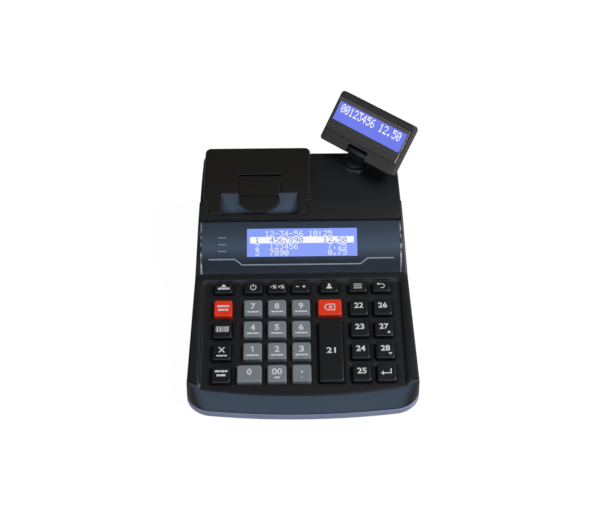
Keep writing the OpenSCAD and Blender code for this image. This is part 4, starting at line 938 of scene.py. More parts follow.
# %% Flat marks
def letters(text, tall, wide):
    """Flat figures from a font's outline, scaled to a height and a width in mm, middle at nought."""
    curve = bpy.data.curves.new("letters", "FONT")
    curve.body, curve.resolution_u, curve.offset = text, 3, 0.024
    thing = bpy.data.objects.new("letters", curve)
    mesh = bpy.data.meshes.new_from_object(thing)
    flat = np.empty(3*len(mesh.vertices))
    mesh.vertices.foreach_get("co", flat)
    faces = [list(face.vertices) for face in mesh.polygons]
    bpy.data.objects.remove(thing)
    bpy.data.meshes.remove(mesh)
    bpy.data.curves.remove(curve)
    flat = flat.reshape(-1, 3)[:, :2]
    low, high = flat.min(axis=0), flat.max(axis=0)
    return (flat - (low + high)/2)*(wide, tall)/(high - low), faces


def shape(*corners):
    """One flat face from its corners."""
    return np.array(corners, float), [list(range(len(corners)))]


def bar(x0, y0, x1, y1):
    """A flat rectangle."""
    return shape((x0, y0), (x1, y0), (x1, y1), (x0, y1))


def stroke(x0, y0, x1, y1, width):
    """A straight line of a width between two points."""
    run = np.array([x1 - x0, y1 - y0], float)
    side = np.array([-run[1], run[0]])/np.linalg.norm(run)*width/2
    a, b = np.array([x0, y0]), np.array([x1, y1])
    return shape(a - side, b - side, b + side, a + side)


def ring(x, y, inner, outer, start=0.0, end=360.0):
    """A flat ring, or a part of it between two angles in degrees."""
    turn = np.radians(np.linspace(start, end, 25))
    way = unit(turn)
    return np.concatenate([way*inner, way*outer]) + (x, y), ring_faces(2, 25, False)[:, ::-1].tolist()


def row_of_bars(x0, x1, y, tall, shares):
    """Small bars in a row, in the place of a printed line; shares are their widths in turn."""
    ends = np.cumsum(np.asarray(shares, float))/np.sum(shares)*(x1 - x0) + x0
    starts = np.concatenate([[x0], ends[:-1]]) + 0.35
    return [bar(a, y - tall/2, b, y + tall/2) for a, b in zip(starts, ends)]


def moved(mark, x, y):
    """A mark shifted on its key."""
    return mark[0] + (x, y), mark[1]


SECOND = {"7": (2, 3, 2), "8": (3, 2, 3), "9": (2, 2, 2, 2), "4": (3, 3), "5": (2, 4, 1), "6": (1, 3, 2, 2),
          "1": (4, 2), "2": (2, 1, 3), "3": (3, 2, 2), "00": (3,)}
MARKS = {}
for name in ("7", "8", "9", "4", "5", "6", "1", "2", "3", "0", "00"):
    wide = 3.8*len(name) + 0.4*(len(name) - 1)
    MARKS["key_" + name] = [moved(letters(name, 5.3, wide), 0, 1.5)]
    if name == "1":
        MARKS["key_1"] = [bar(-0.1, -1.15, 0.75, 4.15), stroke(-1.35, 2.75, 0.45, 3.95, 0.7)]
    if name in SECOND:
        half = 2.2 if name == "00" else 5.0
        MARKS["key_" + name] += row_of_bars(-half, half, -3.6, 1.3, SECOND[name])
for number in range(1, 9):
    MARKS[f"key_t{number}"] = [moved(letters(f"{number + 20}", 4.9, 7.2), 0, 1.3 if number > 1 else 0.0)]
MARKS["key_t7"].append(shape((2.2, -4.6), (5.2, -4.6), (3.7, -2.6)))
MARKS["key_t8"].append(shape((2.2, -2.6), (3.7, -4.6), (5.2, -2.6)))
MARKS["key_point"] = [ring(0, 1.0, 0.0, 0.85), ring(0, -3.6, 0.0, 0.5)]
MARKS["key_times"] = [stroke(-2.2, -0.9, 2.2, 3.5, 0.95), stroke(-2.2, 3.5, 2.2, -0.9, 0.95)] + \
    row_of_bars(-4.2, 4.2, -3.7, 1.2, (2, 3, 2))
MARKS["key_clear"] = [
    stroke(-4.4, 0, -2.2, 2.7, 0.7), stroke(-4.4, 0, -2.2, -2.7, 0.7), bar(-2.3, 2.3, 4.2, 3.0),
    bar(-2.3, -3.0, 4.2, -2.3), bar(3.5, -2.6, 4.2, 2.6), stroke(-0.8, -1.3, 1.8, 1.3, 0.7),
    stroke(-0.8, 1.3, 1.8, -1.3, 0.7)]
MARKS["key_void"] = \
    row_of_bars(-5.0, 5.0, 1.9, 1.7, (2, 3, 2, 2)) + row_of_bars(-4.2, 4.2, -1.5, 1.7, (3, 2, 3))
MARKS["key_code"] = [bar(x, -2.2, x + w, 2.8) for x, w in zip(
    (-5.0, -4.1, -2.7, -1.9, -0.4, 0.9, 1.8, 3.1, 4.1), (0.4, 0.8, 0.35, 0.9, 0.6, 0.35, 0.8, 0.45, 0.9))]
MARKS["key_subtotal"] = \
    row_of_bars(-5.0, 5.0, 2.2, 1.7, (3, 1, 3, 2)) + row_of_bars(-3.6, 3.6, -1.2, 1.7, (2, 3))
MARKS["key_enter"] = [
    bar(2.9, -1.3, 3.7, 3.0), bar(-2.8, -1.3, 3.0, -0.5), shape((-4.6, -0.9), (-2.4, -2.7), (-2.4, 0.9))]
MARKS["key_feed"] = \
    [shape((-2.3, 0.9), (2.3, 0.9), (0, 3.6))] + row_of_bars(-4.9, 4.9, -0.6, 1.9, (2, 2, 2, 2, 2))
MARKS["key_power"] = [ring(0, 0.3, 1.9, 2.6, 125, 415), bar(-0.35, 0.8, 0.35, 3.4)]
MARKS["key_percent"] = [
    bar(-5.4, 0.3, -4.0, 0.9), moved(letters("%", 3.4, 3.2), -2.0, 0.5), bar(0.9, 0.3, 2.5, 0.9),
    bar(1.4, -0.2, 2.0, 1.4), moved(letters("%", 3.4, 3.2), 4.5, 0.5)]
MARKS["key_minus"] = [bar(-4.0, 0.2, -1.4, 0.9), bar(1.4, 0.2, 4.0, 0.9), bar(2.35, -0.75, 3.05, 1.85)]
MARKS["key_clerk"] = [ring(0, 1.9, 0.0, 1.15), ring(0, -1.6, 0.0, 2.3, 0, 180)]
MARKS["key_menu"] = [bar(-3.4, y, 3.4, y + 0.6) for y in (-1.7, 0.1, 1.9)]
MARKS["key_return"] = [
    ring(0.6, 0.4, 1.5, 2.1, -90, 90), bar(-2.4, 1.9, 0.6, 2.5), bar(-0.8, -1.7, 0.6, -1.1),
    shape((-3.7, 2.2), (-2.0, 0.9), (-2.0, 3.5))]
print("keys with a legend:", len(MARKS))

# %% The legends on their keys
def put_print(key, marks, lift=0.03):
    """Lays a key's marks on its top, as one thin piece of white ink."""
    x, row_at, wide, deep = KEYS[key]
    parts = []
    for flat, net in marks:
        height = key_top(flat[:, 0], flat[:, 1], wide/2, deep/2) + lift
        parts.append((on_deck(at_height(flat + (x, row_at), height)), net))
    mesh = new_mesh("print_" + key, *joined(parts))
    return finish_piece("print_" + key, mesh, "ink_white", key, [], 30.0)


prints = [put_print(key, marks) for key, marks in MARKS.items()]
print("printed keys:", len(prints))

# %% [markdown]
# ## Helpers for rounded bodies
# Most small parts are one of two kinds: a profile carried straight along the case, with its end edges
# rounded, or an outline whose corners are arcs.

# %% Rounded outlines and bars
def soft_corners(corners, radii, steps=5):
    """Rounds each corner of an outline by an arc that touches both of its sides."""
    corners, radii = np.asarray(corners, float), np.broadcast_to(np.asarray(radii, float), len(corners))
    back, on = np.roll(corners, 1, axis=0) - corners, np.roll(corners, -1, axis=0) - corners
    back, on = (way/np.linalg.norm(way, axis=1)[:, None] for way in (back, on))
    half = np.arccos(np.clip((back*on).sum(axis=1), -1, 1))/2
    middle = back + on
    centre = corners + middle*(radii/np.sin(half)/np.linalg.norm(middle, axis=1))[:, None]
    first, last = (corners + way*(radii/np.tan(half))[:, None] - centre for way in (back, on))
    start = np.arctan2(first[:, 1], first[:, 0])
    turn = (np.arctan2(last[:, 1], last[:, 0]) - start + np.pi) % (2*np.pi) - np.pi
    angle = start[:, None] + turn[:, None]*np.linspace(0, 1, steps + 1)
    arc = unit(angle)*radii[:, None, None]
    return (centre[:, None] + arc).reshape(-1, 2)


def soft_prism(loop, low, high, soft=0.4, steps=3):
    """Carries an outline from low to high along the third axis; both end edges are quarter circles."""
    loop = np.asarray(loop, float)
    area = (loop[:, 0]*np.roll(loop[:, 1], -1) - loop[:, 1]*np.roll(loop[:, 0], -1)).sum()
    loop = loop if area > 0 else loop[::-1]
    turn = np.linspace(0, np.pi/2, steps + 1)
    inset = np.concatenate([soft*(1 - np.sin(turn)), soft*(1 - np.sin(turn))[::-1]])
    level = np.concatenate([low + soft*(1 - np.cos(turn)), (high - soft*(1 - np.cos(turn)))[::-1]])
    rings = [at_height(moved_out(loop, -gap), at) for gap, at in zip(inset, level)]
    count = len(loop)
    ends = [list(range(count))[::-1], [i + (len(rings) - 1)*count for i in range(count)]]
    return np.concatenate(rings), ring_faces(len(rings), count).tolist() + ends


def bar_along(profile, x0, x1, soft=0.3):
    """A profile in Y and Z carried along X, with soft end edges."""
    points, faces = soft_prism(profile, x0, x1, soft)
    return points[:, [2, 0, 1]], faces


def put_solids(name, parts, coat, body="root", hides=(), sharp=32.0):
    """Puts a piece whose parts may cross one another: each part's faces are turned outwards alone."""
    mesh = new_mesh(name, *joined(parts))
    face_outwards(mesh)
    return finish_piece(name, mesh, coat, body, hides, sharp)


print("helpers ready")

# %% [markdown]
# ## The printer's cover
# The cover is one thin moulding: a crowned top over the rear deck, two cheeks that reach over the step
# beside the paper chute, and an opening for the lever. Its outer edges are well rounded, the ones round
# the openings are crisp. The plan is one outline, so the edge rounding runs round all of it.

# %% The cover's shell
COVER_X0, COVER_X1, CHEEK_X0, CHEEK_X1 = -81.5, 9.0, -76.5, 4.0
CHUTE_X0, CHUTE_X1, CHUTE_TOP, FRONT_Y, WIDE_Y = -66.4, -2.4, 181.9, 163.259, 174.859
LEVER_X0, LEVER_X1, LEVER_HOLE_Y = -52.4, -16.4, 200.66
cover_plan = soft_corners(
    [(COVER_X1, WIDE_Y), (COVER_X1, DEPTH), (COVER_X0, DEPTH), (COVER_X0, WIDE_Y), (CHEEK_X0, WIDE_Y),
     (CHEEK_X0, FRONT_Y), (CHUTE_X0, FRONT_Y), (CHUTE_X0, CHUTE_TOP), (LEVER_X0, CHUTE_TOP),
     (LEVER_X0, LEVER_HOLE_Y), (LEVER_X1, LEVER_HOLE_Y), (LEVER_X1, CHUTE_TOP), (CHUTE_X1, CHUTE_TOP),
     (CHUTE_X1, FRONT_Y), (CHEEK_X1, FRONT_Y), (CHEEK_X1, WIDE_Y)],
    [1.0, 5.0, 5.0, 1.0, 0.3, 0.8, 0.6, 0.3, 0.6, 0.3, 0.3, 0.6, 0.3, 0.6, 0.8, 0.3])


def split(loop, pitch):
    """Adds points along an outline's long sides, so that it can follow a curved top."""
    run = np.roll(loop, -1, axis=0) - loop
    count = np.maximum(np.ceil(np.linalg.norm(run, axis=1)/pitch).astype(int), 1)
    index = np.repeat(np.arange(len(loop)), count)
    share = (np.arange(count.sum()) - np.repeat(np.cumsum(count) - count, count))/count[index]
    return loop[index] + run[index]*share[:, None]


cover_plan = split(cover_plan, 3.0)
outer = (cover_plan[:, 0] > 8) | (cover_plan[:, 0] < -80) | (cover_plan[:, 1] > 225)
edge_round = 0.4 + np.where(outer, 1.9*ease((cover_plan[:, 1] - 176.0)/6.0), 0.0)


def moved_by(loop, gaps):
    """An outline moved outwards by a different gap at each point."""
    return loop + (moved_out(loop, 1.0) - loop)*np.asarray(gaps)[:, None]


def cover_top(y):
    """Height of the cover's crown."""
    return crown_height(y, CROWN_R)


rings_of_cover = []
deck_under = crown_height(np.minimum(cover_plan[:, 1], HINGE_Y), REAR_DECK_R) + 0.3
foot_of_wall = np.where(outer, deck_under, cover_top(cover_plan[:, 1]) - 2.6)
rings_of_cover.append(at_height(cover_plan, foot_of_wall))
for turn in np.linspace(0, np.pi/2, 7):
    loop = moved_by(cover_plan, -edge_round*(1 - np.cos(turn)))
    height = cover_top(loop[:, 1]) - edge_round*(1 - np.sin(turn))
    rings_of_cover.append(at_height(loop, height))
flat, net = field(rings_of_cover[-1][:, :2], [], [], 3.4)
cover_face = (at_height(flat, cover_top(flat[:, 1])), net)
cover_parts = [ring_net(rings_of_cover), cover_face]
cover_shell = put("cover_shell", cover_parts, "cover_black", "cover", ["printer_cover"])
thick = cover_shell.modifiers.new("wall", "SOLIDIFY")
thick.thickness, thick.offset = 1.8*MM, -1.0
print("cover faces:", len(cover_shell.data.polygons))

# %% [markdown]
# Under the shell hang the parts that do the work: the chute's sloping wall, two arms that carry the
# rubber platen, two lugs for the lever's pin and two knuckles that snap into the case.

# %% Chute, arms, lugs and knuckles
CHUTE_SLOPE = np.radians(44.5)
slope = np.array([np.cos(CHUTE_SLOPE), np.sin(CHUTE_SLOPE)])
down = np.array([slope[1], -slope[0]])
chute_top = np.array([CHUTE_TOP, cover_top(CHUTE_TOP)])
chute_foot = chute_top - slope*12.7/np.cos(CHUTE_SLOPE)
PLATEN, LEVER_PIVOT = np.array([171.959, 46.5]), np.array([197.859, 66.561])
HINGE, LUG_T = np.array([HINGE_Y, HINGE_Z]), 2.4
chute_end = chute_top - 0.25*slope
chute_wall = soft_corners([chute_foot, chute_end, chute_end + 2*down, chute_foot + 2*down], 0.35)
# The chute's blue-grey material is a painted sheen over black plastic.
put_solids("chute", [bar_along(chute_wall, CHUTE_X0 - 1.9, CHUTE_X1 + 1.9)], "chute_black_with_painted_sheen", "cover")
under_parts = []
for x0 in (CHUTE_X0 - 2.0, CHUTE_X1):
    cheek = [chute_foot, chute_foot + (0, 3), (FRONT_Y + 4.3, cover_top(FRONT_Y + 4.3) - 1.2),
             (CHUTE_TOP + 3, cover_top(CHUTE_TOP + 3) - 1.2), chute_top + 2*down]
    under_parts.append(bar_along(cheek, x0, x0 + 2.0, 0.2))
for x0 in (-65.95, -5.25):
    arm_top = chute_foot + 2*down + 8*slope
    arm_plate = [PLATEN + (-3.2, 0.5), PLATEN + (3.2, 0.5), arm_top, chute_foot + 0.5*down + 2*slope]
    under_parts += [bar_along(side, x0, x0 + LUG_T) for side in (arm_plate, circle(PLATEN, 3.6))]
for x0 in (LEVER_X0 - LUG_T, LEVER_X1):
    lug = [LEVER_PIVOT + at for at in ((-2.3, 0), (2.3, 0), (2.3, 2.4), (-2.3, 2.4))]
    under_parts += [bar_along(side, x0, x0 + LUG_T) for side in (lug, circle(LEVER_PIVOT, 2.3, 32))]
for middle in slots_x:
    neck_of = [HINGE + at for at in ((-1.8, 0), (2.6, 0), (2.6, 5.2), (-1.8, 5.2))]
    under_parts += [bar_along(circle(HINGE, 2.9, 40), middle - 5.5, middle + 5.5, 0.4),
                    bar_along(neck_of, middle - 5.5, middle + 5.5, 0.4),
                    bar_along(circle(HINGE, 1.5, 24), middle - 7.7, middle + 7.7, 0.3)]
put_solids("cover_under", under_parts, "cover_black", "cover")
print("parts under the cover:", len(under_parts))

# %% [markdown]
# ## The release lever
# A flat pad, flush with the cover, that ends in a half-moon tongue over the chute. A finger under the
# tongue lifts it and the cover with it. A groove parts the pad from the tongue.

# %% The lever
LEVER_HALF, PAD_Y0, PAD_Y1, TIP_Y, LEVER_T = 17.6, 178.459, 198.759, 165.359, 1.8
tongue_half, straight_y = LEVER_HALF - 0.6, 172.759
tip_r = (tongue_half**2 + (straight_y - TIP_Y)**2)/2/(straight_y - TIP_Y)
swing = np.arcsin(tongue_half/tip_r)
tip = np.stack([tip_r*np.sin(np.linspace(-swing, swing, 33)),
                TIP_Y + tip_r - tip_r*np.cos(np.linspace(-swing, swing, 33))], axis=-1)
lever_plan = np.concatenate([tip[1:-1], soft_corners(
    [(tongue_half, straight_y), (tongue_half, PAD_Y0), (LEVER_HALF, PAD_Y0), (LEVER_HALF, PAD_Y1),
     (-LEVER_HALF, PAD_Y1), (-LEVER_HALF, PAD_Y0), (-tongue_half, PAD_Y0), (-tongue_half, straight_y)],
    [0.4, 0.2, 0.35, 0.5, 0.5, 0.35, 0.2, 0.4], 3)])
lever_plan = split(lever_plan, 2.0) + (PAPER_X, 0)
GROOVE_Y0, GROOVE_Y1 = 177.2, 179.4


def lever_top(y):
    """Height of the lever's top: the cover's crown, less the groove and the lower tongue."""
    return cover_top(y) - 1.5*ease((GROOVE_Y1 - y)/0.14) + 0.9*ease((GROOVE_Y0 - y)/0.6)


lever_rings = []
for turn in np.linspace(0, np.pi/2, 4):
    loop = moved_out(lever_plan, -0.35*(1 - np.cos(turn)))
    height = lever_top(loop[:, 1]) - 0.35*(1 - np.sin(turn))
    lever_rings.append(at_height(loop, height))
below = at_height(lever_plan, cover_top(lever_plan[:, 1]) - LEVER_T)
groove_lines = (176.5, 176.8, 177.0, 177.2, 177.4, 178.4, 179.1, 179.26, 179.33, 179.4, 179.7)
across_lines = [np.array([(PAPER_X - 16.4, y), (PAPER_X + 16.4, y)]) for y in groove_lines]
flat, net = field(lever_rings[-1][:, :2], [], across_lines, 1.8)
low_flat, low_net = field(lever_plan, [], [], 3.5)
lever_parts = [ring_net([below] + lever_rings), (at_height(flat, lever_top(flat[:, 1])), net),
               (at_height(low_flat, cover_top(low_flat[:, 1]) - LEVER_T), low_net)]
put("lever_pad", lever_parts, "cover_black", "lever", ["release_lever"], 40.0)
lug_parts = []
for x0 in (PAPER_X - LEVER_HALF, PAPER_X + LEVER_HALF - LUG_T):
    web = [LEVER_PIVOT + at for at in ((-1.6, 0), (1.6, 0), (1.6, 2.4), (-1.6, 2.4))]
    lug_parts += [bar_along(side, x0, x0 + LUG_T) for side in (web, circle(LEVER_PIVOT, 2.0, 32))]
put_solids("lever_lugs", lug_parts, "cover_black", "lever")
print("lever: tongue arc", round(tip_r, 1), "mm")

# %% [markdown]
# ## The operator's lens
# A curved plate of clear acrylic, 2.5 mm thick, lies in its seat. Its back is printed dark, except for the
# window over the display; a painted sheen over the print makes it slate grey higher up, and it stays nearly
# black low down. A thin grey line and three dashes are printed there too. The plate's ends carry a painted
# highlight: pale patches painted on thin strips at both ends.

# %% The lens plate and its print
LENS_HALF, ARC_HALF, PRINT_R = 83.25, 23.2, 89.45


def on_arc(flat, radius):
    """Lays points (across, along the arc from its middle towards the rear) on the lens's cylinder."""
    yz = LENS_C + radius*unit(LENS_MID - flat[:, 1]/LENS_R)
    return np.concatenate([flat[:, :1], yz], axis=1)


lens_plan = split(soft_corners([(LENS_HALF, -ARC_HALF), (LENS_HALF, ARC_HALF), (-LENS_HALF, ARC_HALF),
                                (-LENS_HALF, -ARC_HALF)], 0.8), 2.0)
lens_rings = [on_arc(lens_plan, LENS_R - LENS_T)]
for turn in np.linspace(0, np.pi/2, 5):
    lens_rings.append(on_arc(moved_out(lens_plan, -0.5*(1 - np.cos(turn))), LENS_R - 0.5*(1 - np.sin(turn))))
lens_parts = [ring_net(lens_rings),
              sheet(lambda flat: on_arc(flat, LENS_R), moved_out(lens_plan, -0.5), [], 3.0),
              sheet(lambda flat: on_arc(flat, LENS_R - LENS_T), lens_plan, [], 3.0)]
put("lens_plate", lens_parts, "smoked_lens", "root", ["display_lens"], 50.0)

WINDOW_X0, WINDOW_X1, WINDOW_S0, WINDOW_S1 = -44.9, 46.6, -8.4, 17.0
window_line = split(soft_corners([(WINDOW_X1, WINDOW_S0), (WINDOW_X1, WINDOW_S1), (WINDOW_X0, WINDOW_S1),
                                  (WINDOW_X0, WINDOW_S0)], 0.5), 2.5)
printed = sheet(lambda flat: on_arc(flat, PRINT_R), moved_out(lens_plan, -0.1), [window_line], 3.0)
# The print sheet carries the painted sheen of the curved plate as well as the dark print.
put("lens_print_sheen", [printed], "lens_print_sheen")


def ribbon(path, width, radius):
    """A thin printed line along a path of points on the lens's cylinder."""
    path = np.asarray(path, float)
    run = np.diff(path, axis=0)/np.linalg.norm(np.diff(path, axis=0), axis=1)[:, None]
    run = np.concatenate([run[:1], run[1:] + run[:-1], run[-1:]])
    side = np.stack([-run[:, 1], run[:, 0]], axis=-1)/np.linalg.norm(run, axis=1)[:, None]*width/2
    both = np.concatenate([path - side, path + side])
    return on_arc(both, radius), ring_faces(2, len(path), False).tolist()


right_line = np.array([(76.4, -10.4), (66.0, -10.4), (55.1, -10.4), (54.6, -10.55), (49.0, -15.0),
                       (48.4, -15.2), (20.0, -15.2), (0.0, -15.2)])
trim = np.concatenate([right_line, (right_line*(-1, 1))[::-1][1:]])
trim_parts = [ribbon(trim, 1.0, PRINT_R + 0.03)]
trim_parts += [ribbon([(-68.4, s), (-65.0, s), (-61.8, s)], 0.75, PRINT_R + 0.03) for s in (8.4, 2.4, -3.5)]
put("lens_marks", trim_parts, "ink_pale")
# Painted highlights: thin strips at both ends of the lens, painted with pale patches.
end_parts = []
for side in (-1, 1):
    path = np.stack([np.full(25, side*LENS_HALF), np.linspace(-22.8, 22.8, 25)], axis=-1)
    inner = path - np.stack([side*np.linspace(1.7, 1.1, 25), np.zeros(25)], axis=-1)
    end_parts.append((on_arc(np.concatenate([path - (side*0.15, 0), inner]), PRINT_R + 0.06),
                      ring_faces(2, 25, False).tolist()))
put("lens_ends", end_parts, "lens_end_glint")
print("points along the lens's edge:", len(lens_plan))

# %% [markdown]
# ## The operator's display
# A dot-matrix display: each figure is five dots wide and seven high, lit white on a blue ground. The
# second row is shown the other way round, blue on white. Only plain figures are shown.

# %% Dots of the displays
DOTS = {"0": (14, 17, 19, 21, 25, 17, 14), "1": (4, 12, 4, 4, 4, 4, 14), "2": (14, 17, 1, 2, 4, 8, 31),
        "3": (31, 2, 4, 2, 1, 17, 14), "4": (2, 6, 10, 18, 31, 2, 2), "5": (31, 16, 30, 1, 1, 17, 14),
        "6": (6, 8, 16, 30, 17, 17, 14), "7": (31, 1, 2, 4, 8, 8, 8), "8": (14, 17, 17, 14, 17, 17, 14),
        "9": (14, 17, 17, 15, 1, 2, 12), ".": (0, 0, 0, 0, 0, 12, 12), "-": (0, 0, 0, 31, 0, 0, 0),
        ":": (0, 12, 12, 0, 12, 12, 0), " ": (0, 0, 0, 0, 0, 0, 0)}


def dot_row(text, x0, middle, pitch, share=0.94, stretch=1.0):
    """Centres of the lit dots of a row of figures, each turned into a small upright rectangle."""
    codes = np.array([DOTS[letter] for letter in text], np.uint8)
    lit = np.argwhere(np.unpackbits(codes[..., None], axis=-1)[..., 3:])
    across, up = x0 + (lit[:, 0]*6 + lit[:, 2] + 0.5)*pitch, middle + (3 - lit[:, 1])*pitch*stretch
    centre = np.stack([across, up], axis=-1)
    corner = np.array([[-1, -1], [1, -1], [1, 1], [-1, 1]])*(share*pitch/2, share*pitch*stretch/2)
    return (centre[:, None] + corner).reshape(-1, 2), np.arange(4*len(lit)).reshape(-1, 4)


LCD_DOWN, LCD_R = 4.0, 87.0
LCD_ANGLE = LENS_MID - LCD_DOWN/LCD_R
lcd_normal = np.array([np.cos(LCD_ANGLE), np.sin(LCD_ANGLE)])
lcd_up = np.array([np.sin(LCD_ANGLE), -np.cos(LCD_ANGLE)])


def on_lcd(flat, lift):
    """Lays points (across, up the slope from the lens's middle) on the display's face."""
    yz = LENS_C + (LCD_R + lift)*lcd_normal + (flat[:, 1:2] - LCD_DOWN)*lcd_up
    return np.concatenate([flat[:, :1], yz], axis=1)


def flat_face(x0, y0, x1, y1):
    """A flat rectangle's points and its one face."""
    return np.array([(x0, y0), (x1, y0), (x1, y1), (x0, y1)], float), [[0, 1, 2, 3]]


FACE_LIFT, BAND_LIFT, DOT_LIFT = 0.03, 0.06, 0.09
face, net = flat_face(-44.8, -8.3, 46.5, 16.9)
put("operator_display_face", [(on_lcd(face, FACE_LIFT), net)], "display_blue")
face, net = flat_face(-42.3, 3.5, 43.8, 9.1)
put("operator_display_band", [(on_lcd(face, BAND_LIFT), net)], "display_white")
PITCH = 0.67
WHITE_TEXT = (("12-34-56 10:25", -29.8, 11.8), ("2  123456      7.25", -38.0, 0.85),
              ("3  7890        0.75", -38.0, -4.6))
white_rows = [dot_row(text, x0, middle, PITCH) for text, x0, middle in WHITE_TEXT]
white_dots = put("operator_display_dots", [(on_lcd(flat, DOT_LIFT), net) for flat, net in white_rows],
                 "display_white")
flat, net = dot_row("1  4567890    12.50", -38.0, 6.3, PITCH)
blue_dots = put("operator_display_dots_blue", [(on_lcd(flat, DOT_LIFT), net)], "display_ink")
print("lit dots:", len(white_dots.data.polygons) + len(blue_dots.data.polygons))

# %% [markdown]
# ## The customer's display
# A small head on a neck, which turns and tilts. Two shells meet at a seam; the front one carries a flat
# lens nearly as wide as itself. Points are given in the head's own frame: across, out of its back and
# up its face.

# %% The head's frame, its shells and its lens
TILT_Z, SHIFT, TURN, LEAN = 77.7, 3.0, np.radians(-39), np.radians(45)


def on_neck(points):
    """Moves points of the neck (across, back, up) to where the neck stands."""
    x, y = points[:, 0], points[:, 1]
    return np.stack([SWIVEL[0] + x*np.cos(TURN) - y*np.sin(TURN),
                     SWIVEL[1] + x*np.sin(TURN) + y*np.cos(TURN), points[:, 2]], axis=-1)


def on_head(points):
    """Moves points of the head (across, out of its back, up its face) to where it leans."""
    y, z = points[:, 1], points[:, 2]
    back, up = y*np.cos(LEAN) + z*np.sin(LEAN), z*np.cos(LEAN) - y*np.sin(LEAN)
    return on_neck(np.stack([points[:, 0] + SHIFT, back, TILT_Z + up], axis=-1))


HEAD_HALF, HEAD_TOP, HEAD_LOW, NOTCH_HALF, NOTCH_TOP = 37.5, 42.0, -3.5, 9.8, 4.2


def head_line(gap, chamfer=1.0):
    """The head's outline moved inwards by gap, with the hinge's notch in its lower side."""
    w, top, low = HEAD_HALF - gap, HEAD_TOP - gap, HEAD_LOW + gap*chamfer
    return soft_corners([(NOTCH_HALF, low), (w, low), (w, top), (-w, top), (-w, low), (-NOTCH_HALF, low),
                         (-NOTCH_HALF, NOTCH_TOP), (NOTCH_HALF, NOTCH_TOP)],
                        [0.5, 2.6 - 0.5*gap, 3.2 - 0.5*gap, 3.2 - 0.5*gap, 2.6 - 0.5*gap, 0.5, 0.6, 0.6], 6)


def at_depth(loop, depth):
    """Puts an outline of the head at a depth behind its face plane."""
    return on_head(np.stack([loop[:, 0], np.full(len(loop), depth), loop[:, 1]], axis=-1))


def head_sheet(outline, holes, pitch, depth):
    """A filled outline of the head at a depth behind its face plane."""
    return sheet(lambda flat: at_depth(flat, depth), outline, holes, pitch)


FACE, POCKET, EDGE_R = -5.5, -4.0, 0.6
PANE_BACK, LINE_AT, GLINT_AT = -4.05, -5.52, -5.53
# The print, the lit face and its figures are drawn just under the lens's front, nearer than the module.
PRINT_AT, LIT_AT, DOTS_AT = -5.3, -5.295, -5.32
front_rows = [at_depth(head_line(0.0), 0.0), at_depth(head_line(0.0), FACE + EDGE_R)]
front_rows += [at_depth(head_line(EDGE_R*(1 - np.cos(t))), FACE + EDGE_R*(1 - np.sin(t)))
               for t in np.linspace(0, np.pi/2, 5)[1:]]
lens_hole = rounded(36.8, 15.45, 1.2, 5) + (0, 21.6)
front_parts = [ring_net(front_rows), head_sheet(head_line(EDGE_R), [lens_hole], 3.5, FACE),
               ring_net([at_depth(lens_hole, FACE), at_depth(lens_hole, POCKET)]),
               head_sheet(lens_hole, [], 5.0, POCKET), head_sheet(head_line(0.0), [], 6.0, 0.0)]
put("head_front", front_parts, "head_front", "head", ["customer_display_front"], 40.0)

steps = [(0.0, 0.0), (0.0, 3.7), (0.12, 4.2), (0.4, 4.65), (2.9, 7.0), (3.3, 7.3), (3.9, 7.5)]
rear_rows = [at_depth(head_line(gap, 0.5), depth) for gap, depth in steps]
rear_parts = [ring_net(rear_rows), head_sheet(head_line(3.9, 0.5), [], 5.0, 7.5),
              head_sheet(head_line(0.0), [], 6.0, 0.0)]
put("head_rear", rear_parts, "head_rear", "head", ["customer_display_rear"], 30.0)

pane = rounded(36.7, 15.35, 1.1, 5) + (0, 21.6)
pane_face = moved_out(pane, -0.15)
pane_parts = [ring_net([at_depth(pane, PANE_BACK), at_depth(pane, FACE + 0.15), at_depth(pane_face, FACE)]),
              head_sheet(pane_face, [], 6.0, FACE), head_sheet(pane, [], 6.0, PANE_BACK)]
put("head_lens", pane_parts, "smoked_lens", "head", ["customer_lens"], 30.0)
put("head_lens_edge", [ring_net([at_depth(pane_face, LINE_AT), at_depth(moved_out(pane, -0.45), LINE_AT)])],
    "head_edge", "head")
# A painted highlight: a strip of pale patches painted at the small lens's right end.
strip, net = flat_face(35.3, 7.4, 36.2, 35.6)
put("head_lens_glint", [(at_depth(strip, GLINT_AT), net)], "head_glint", "head")
LCD_MIDDLE = 24.7
lcd_window = rounded(34.5, 8.5, 0.3, 2) + (0, LCD_MIDDLE)
# This print carries a painted warm sheen and, at its top, a painted reflection.
put("head_lens_print", [head_sheet(moved_out(pane, -0.3), [lcd_window], 5.0, PRINT_AT)], "head_print_sheen", "head")

# %% The customer's figures
face, net = flat_face(-34.4, LCD_MIDDLE - 8.4, 34.4, LCD_MIDDLE + 8.4)
put("customer_display_face", [(at_depth(face, LIT_AT), net)], "display_deep", "head")
flat, net = dot_row("00123456 12.50", -31.0, LCD_MIDDLE + 3.4, 0.735, 0.96, 1.42)
put("customer_display_dots", [(at_depth(flat, DOTS_AT), net)], "display_white", "head")
print("lit dots for the customer:", len(net))

# %% [markdown]
# ## The neck
# A turned base with a soft edge, a flat stem and a barrel that the hinge pin runs through.

# %% The neck
def turned(profile, count=64):
    """A profile of radii and heights turned round an upright axis, closed by a point at each end."""
    profile = np.asarray(profile, float)
    angle = np.arange(count)/count*2*np.pi
    rings = [at_height(unit(angle)*r, z) for r, z in profile]
    ends = np.array([[0, 0, profile[0, 1]], [0, 0, profile[-1, 1]]])
    points, last = np.concatenate(rings + [ends]), len(profile)*count
    here, after = np.arange(count), (np.arange(count) + 1) % count
    caps = [[last, j, i] for i, j in zip(here.tolist(), after.tolist())]
    caps += [[last + 1, i + last - count, j + last - count] for i, j in zip(here.tolist(), after.tolist())]
    return points, ring_faces(len(profile), count).tolist() + caps


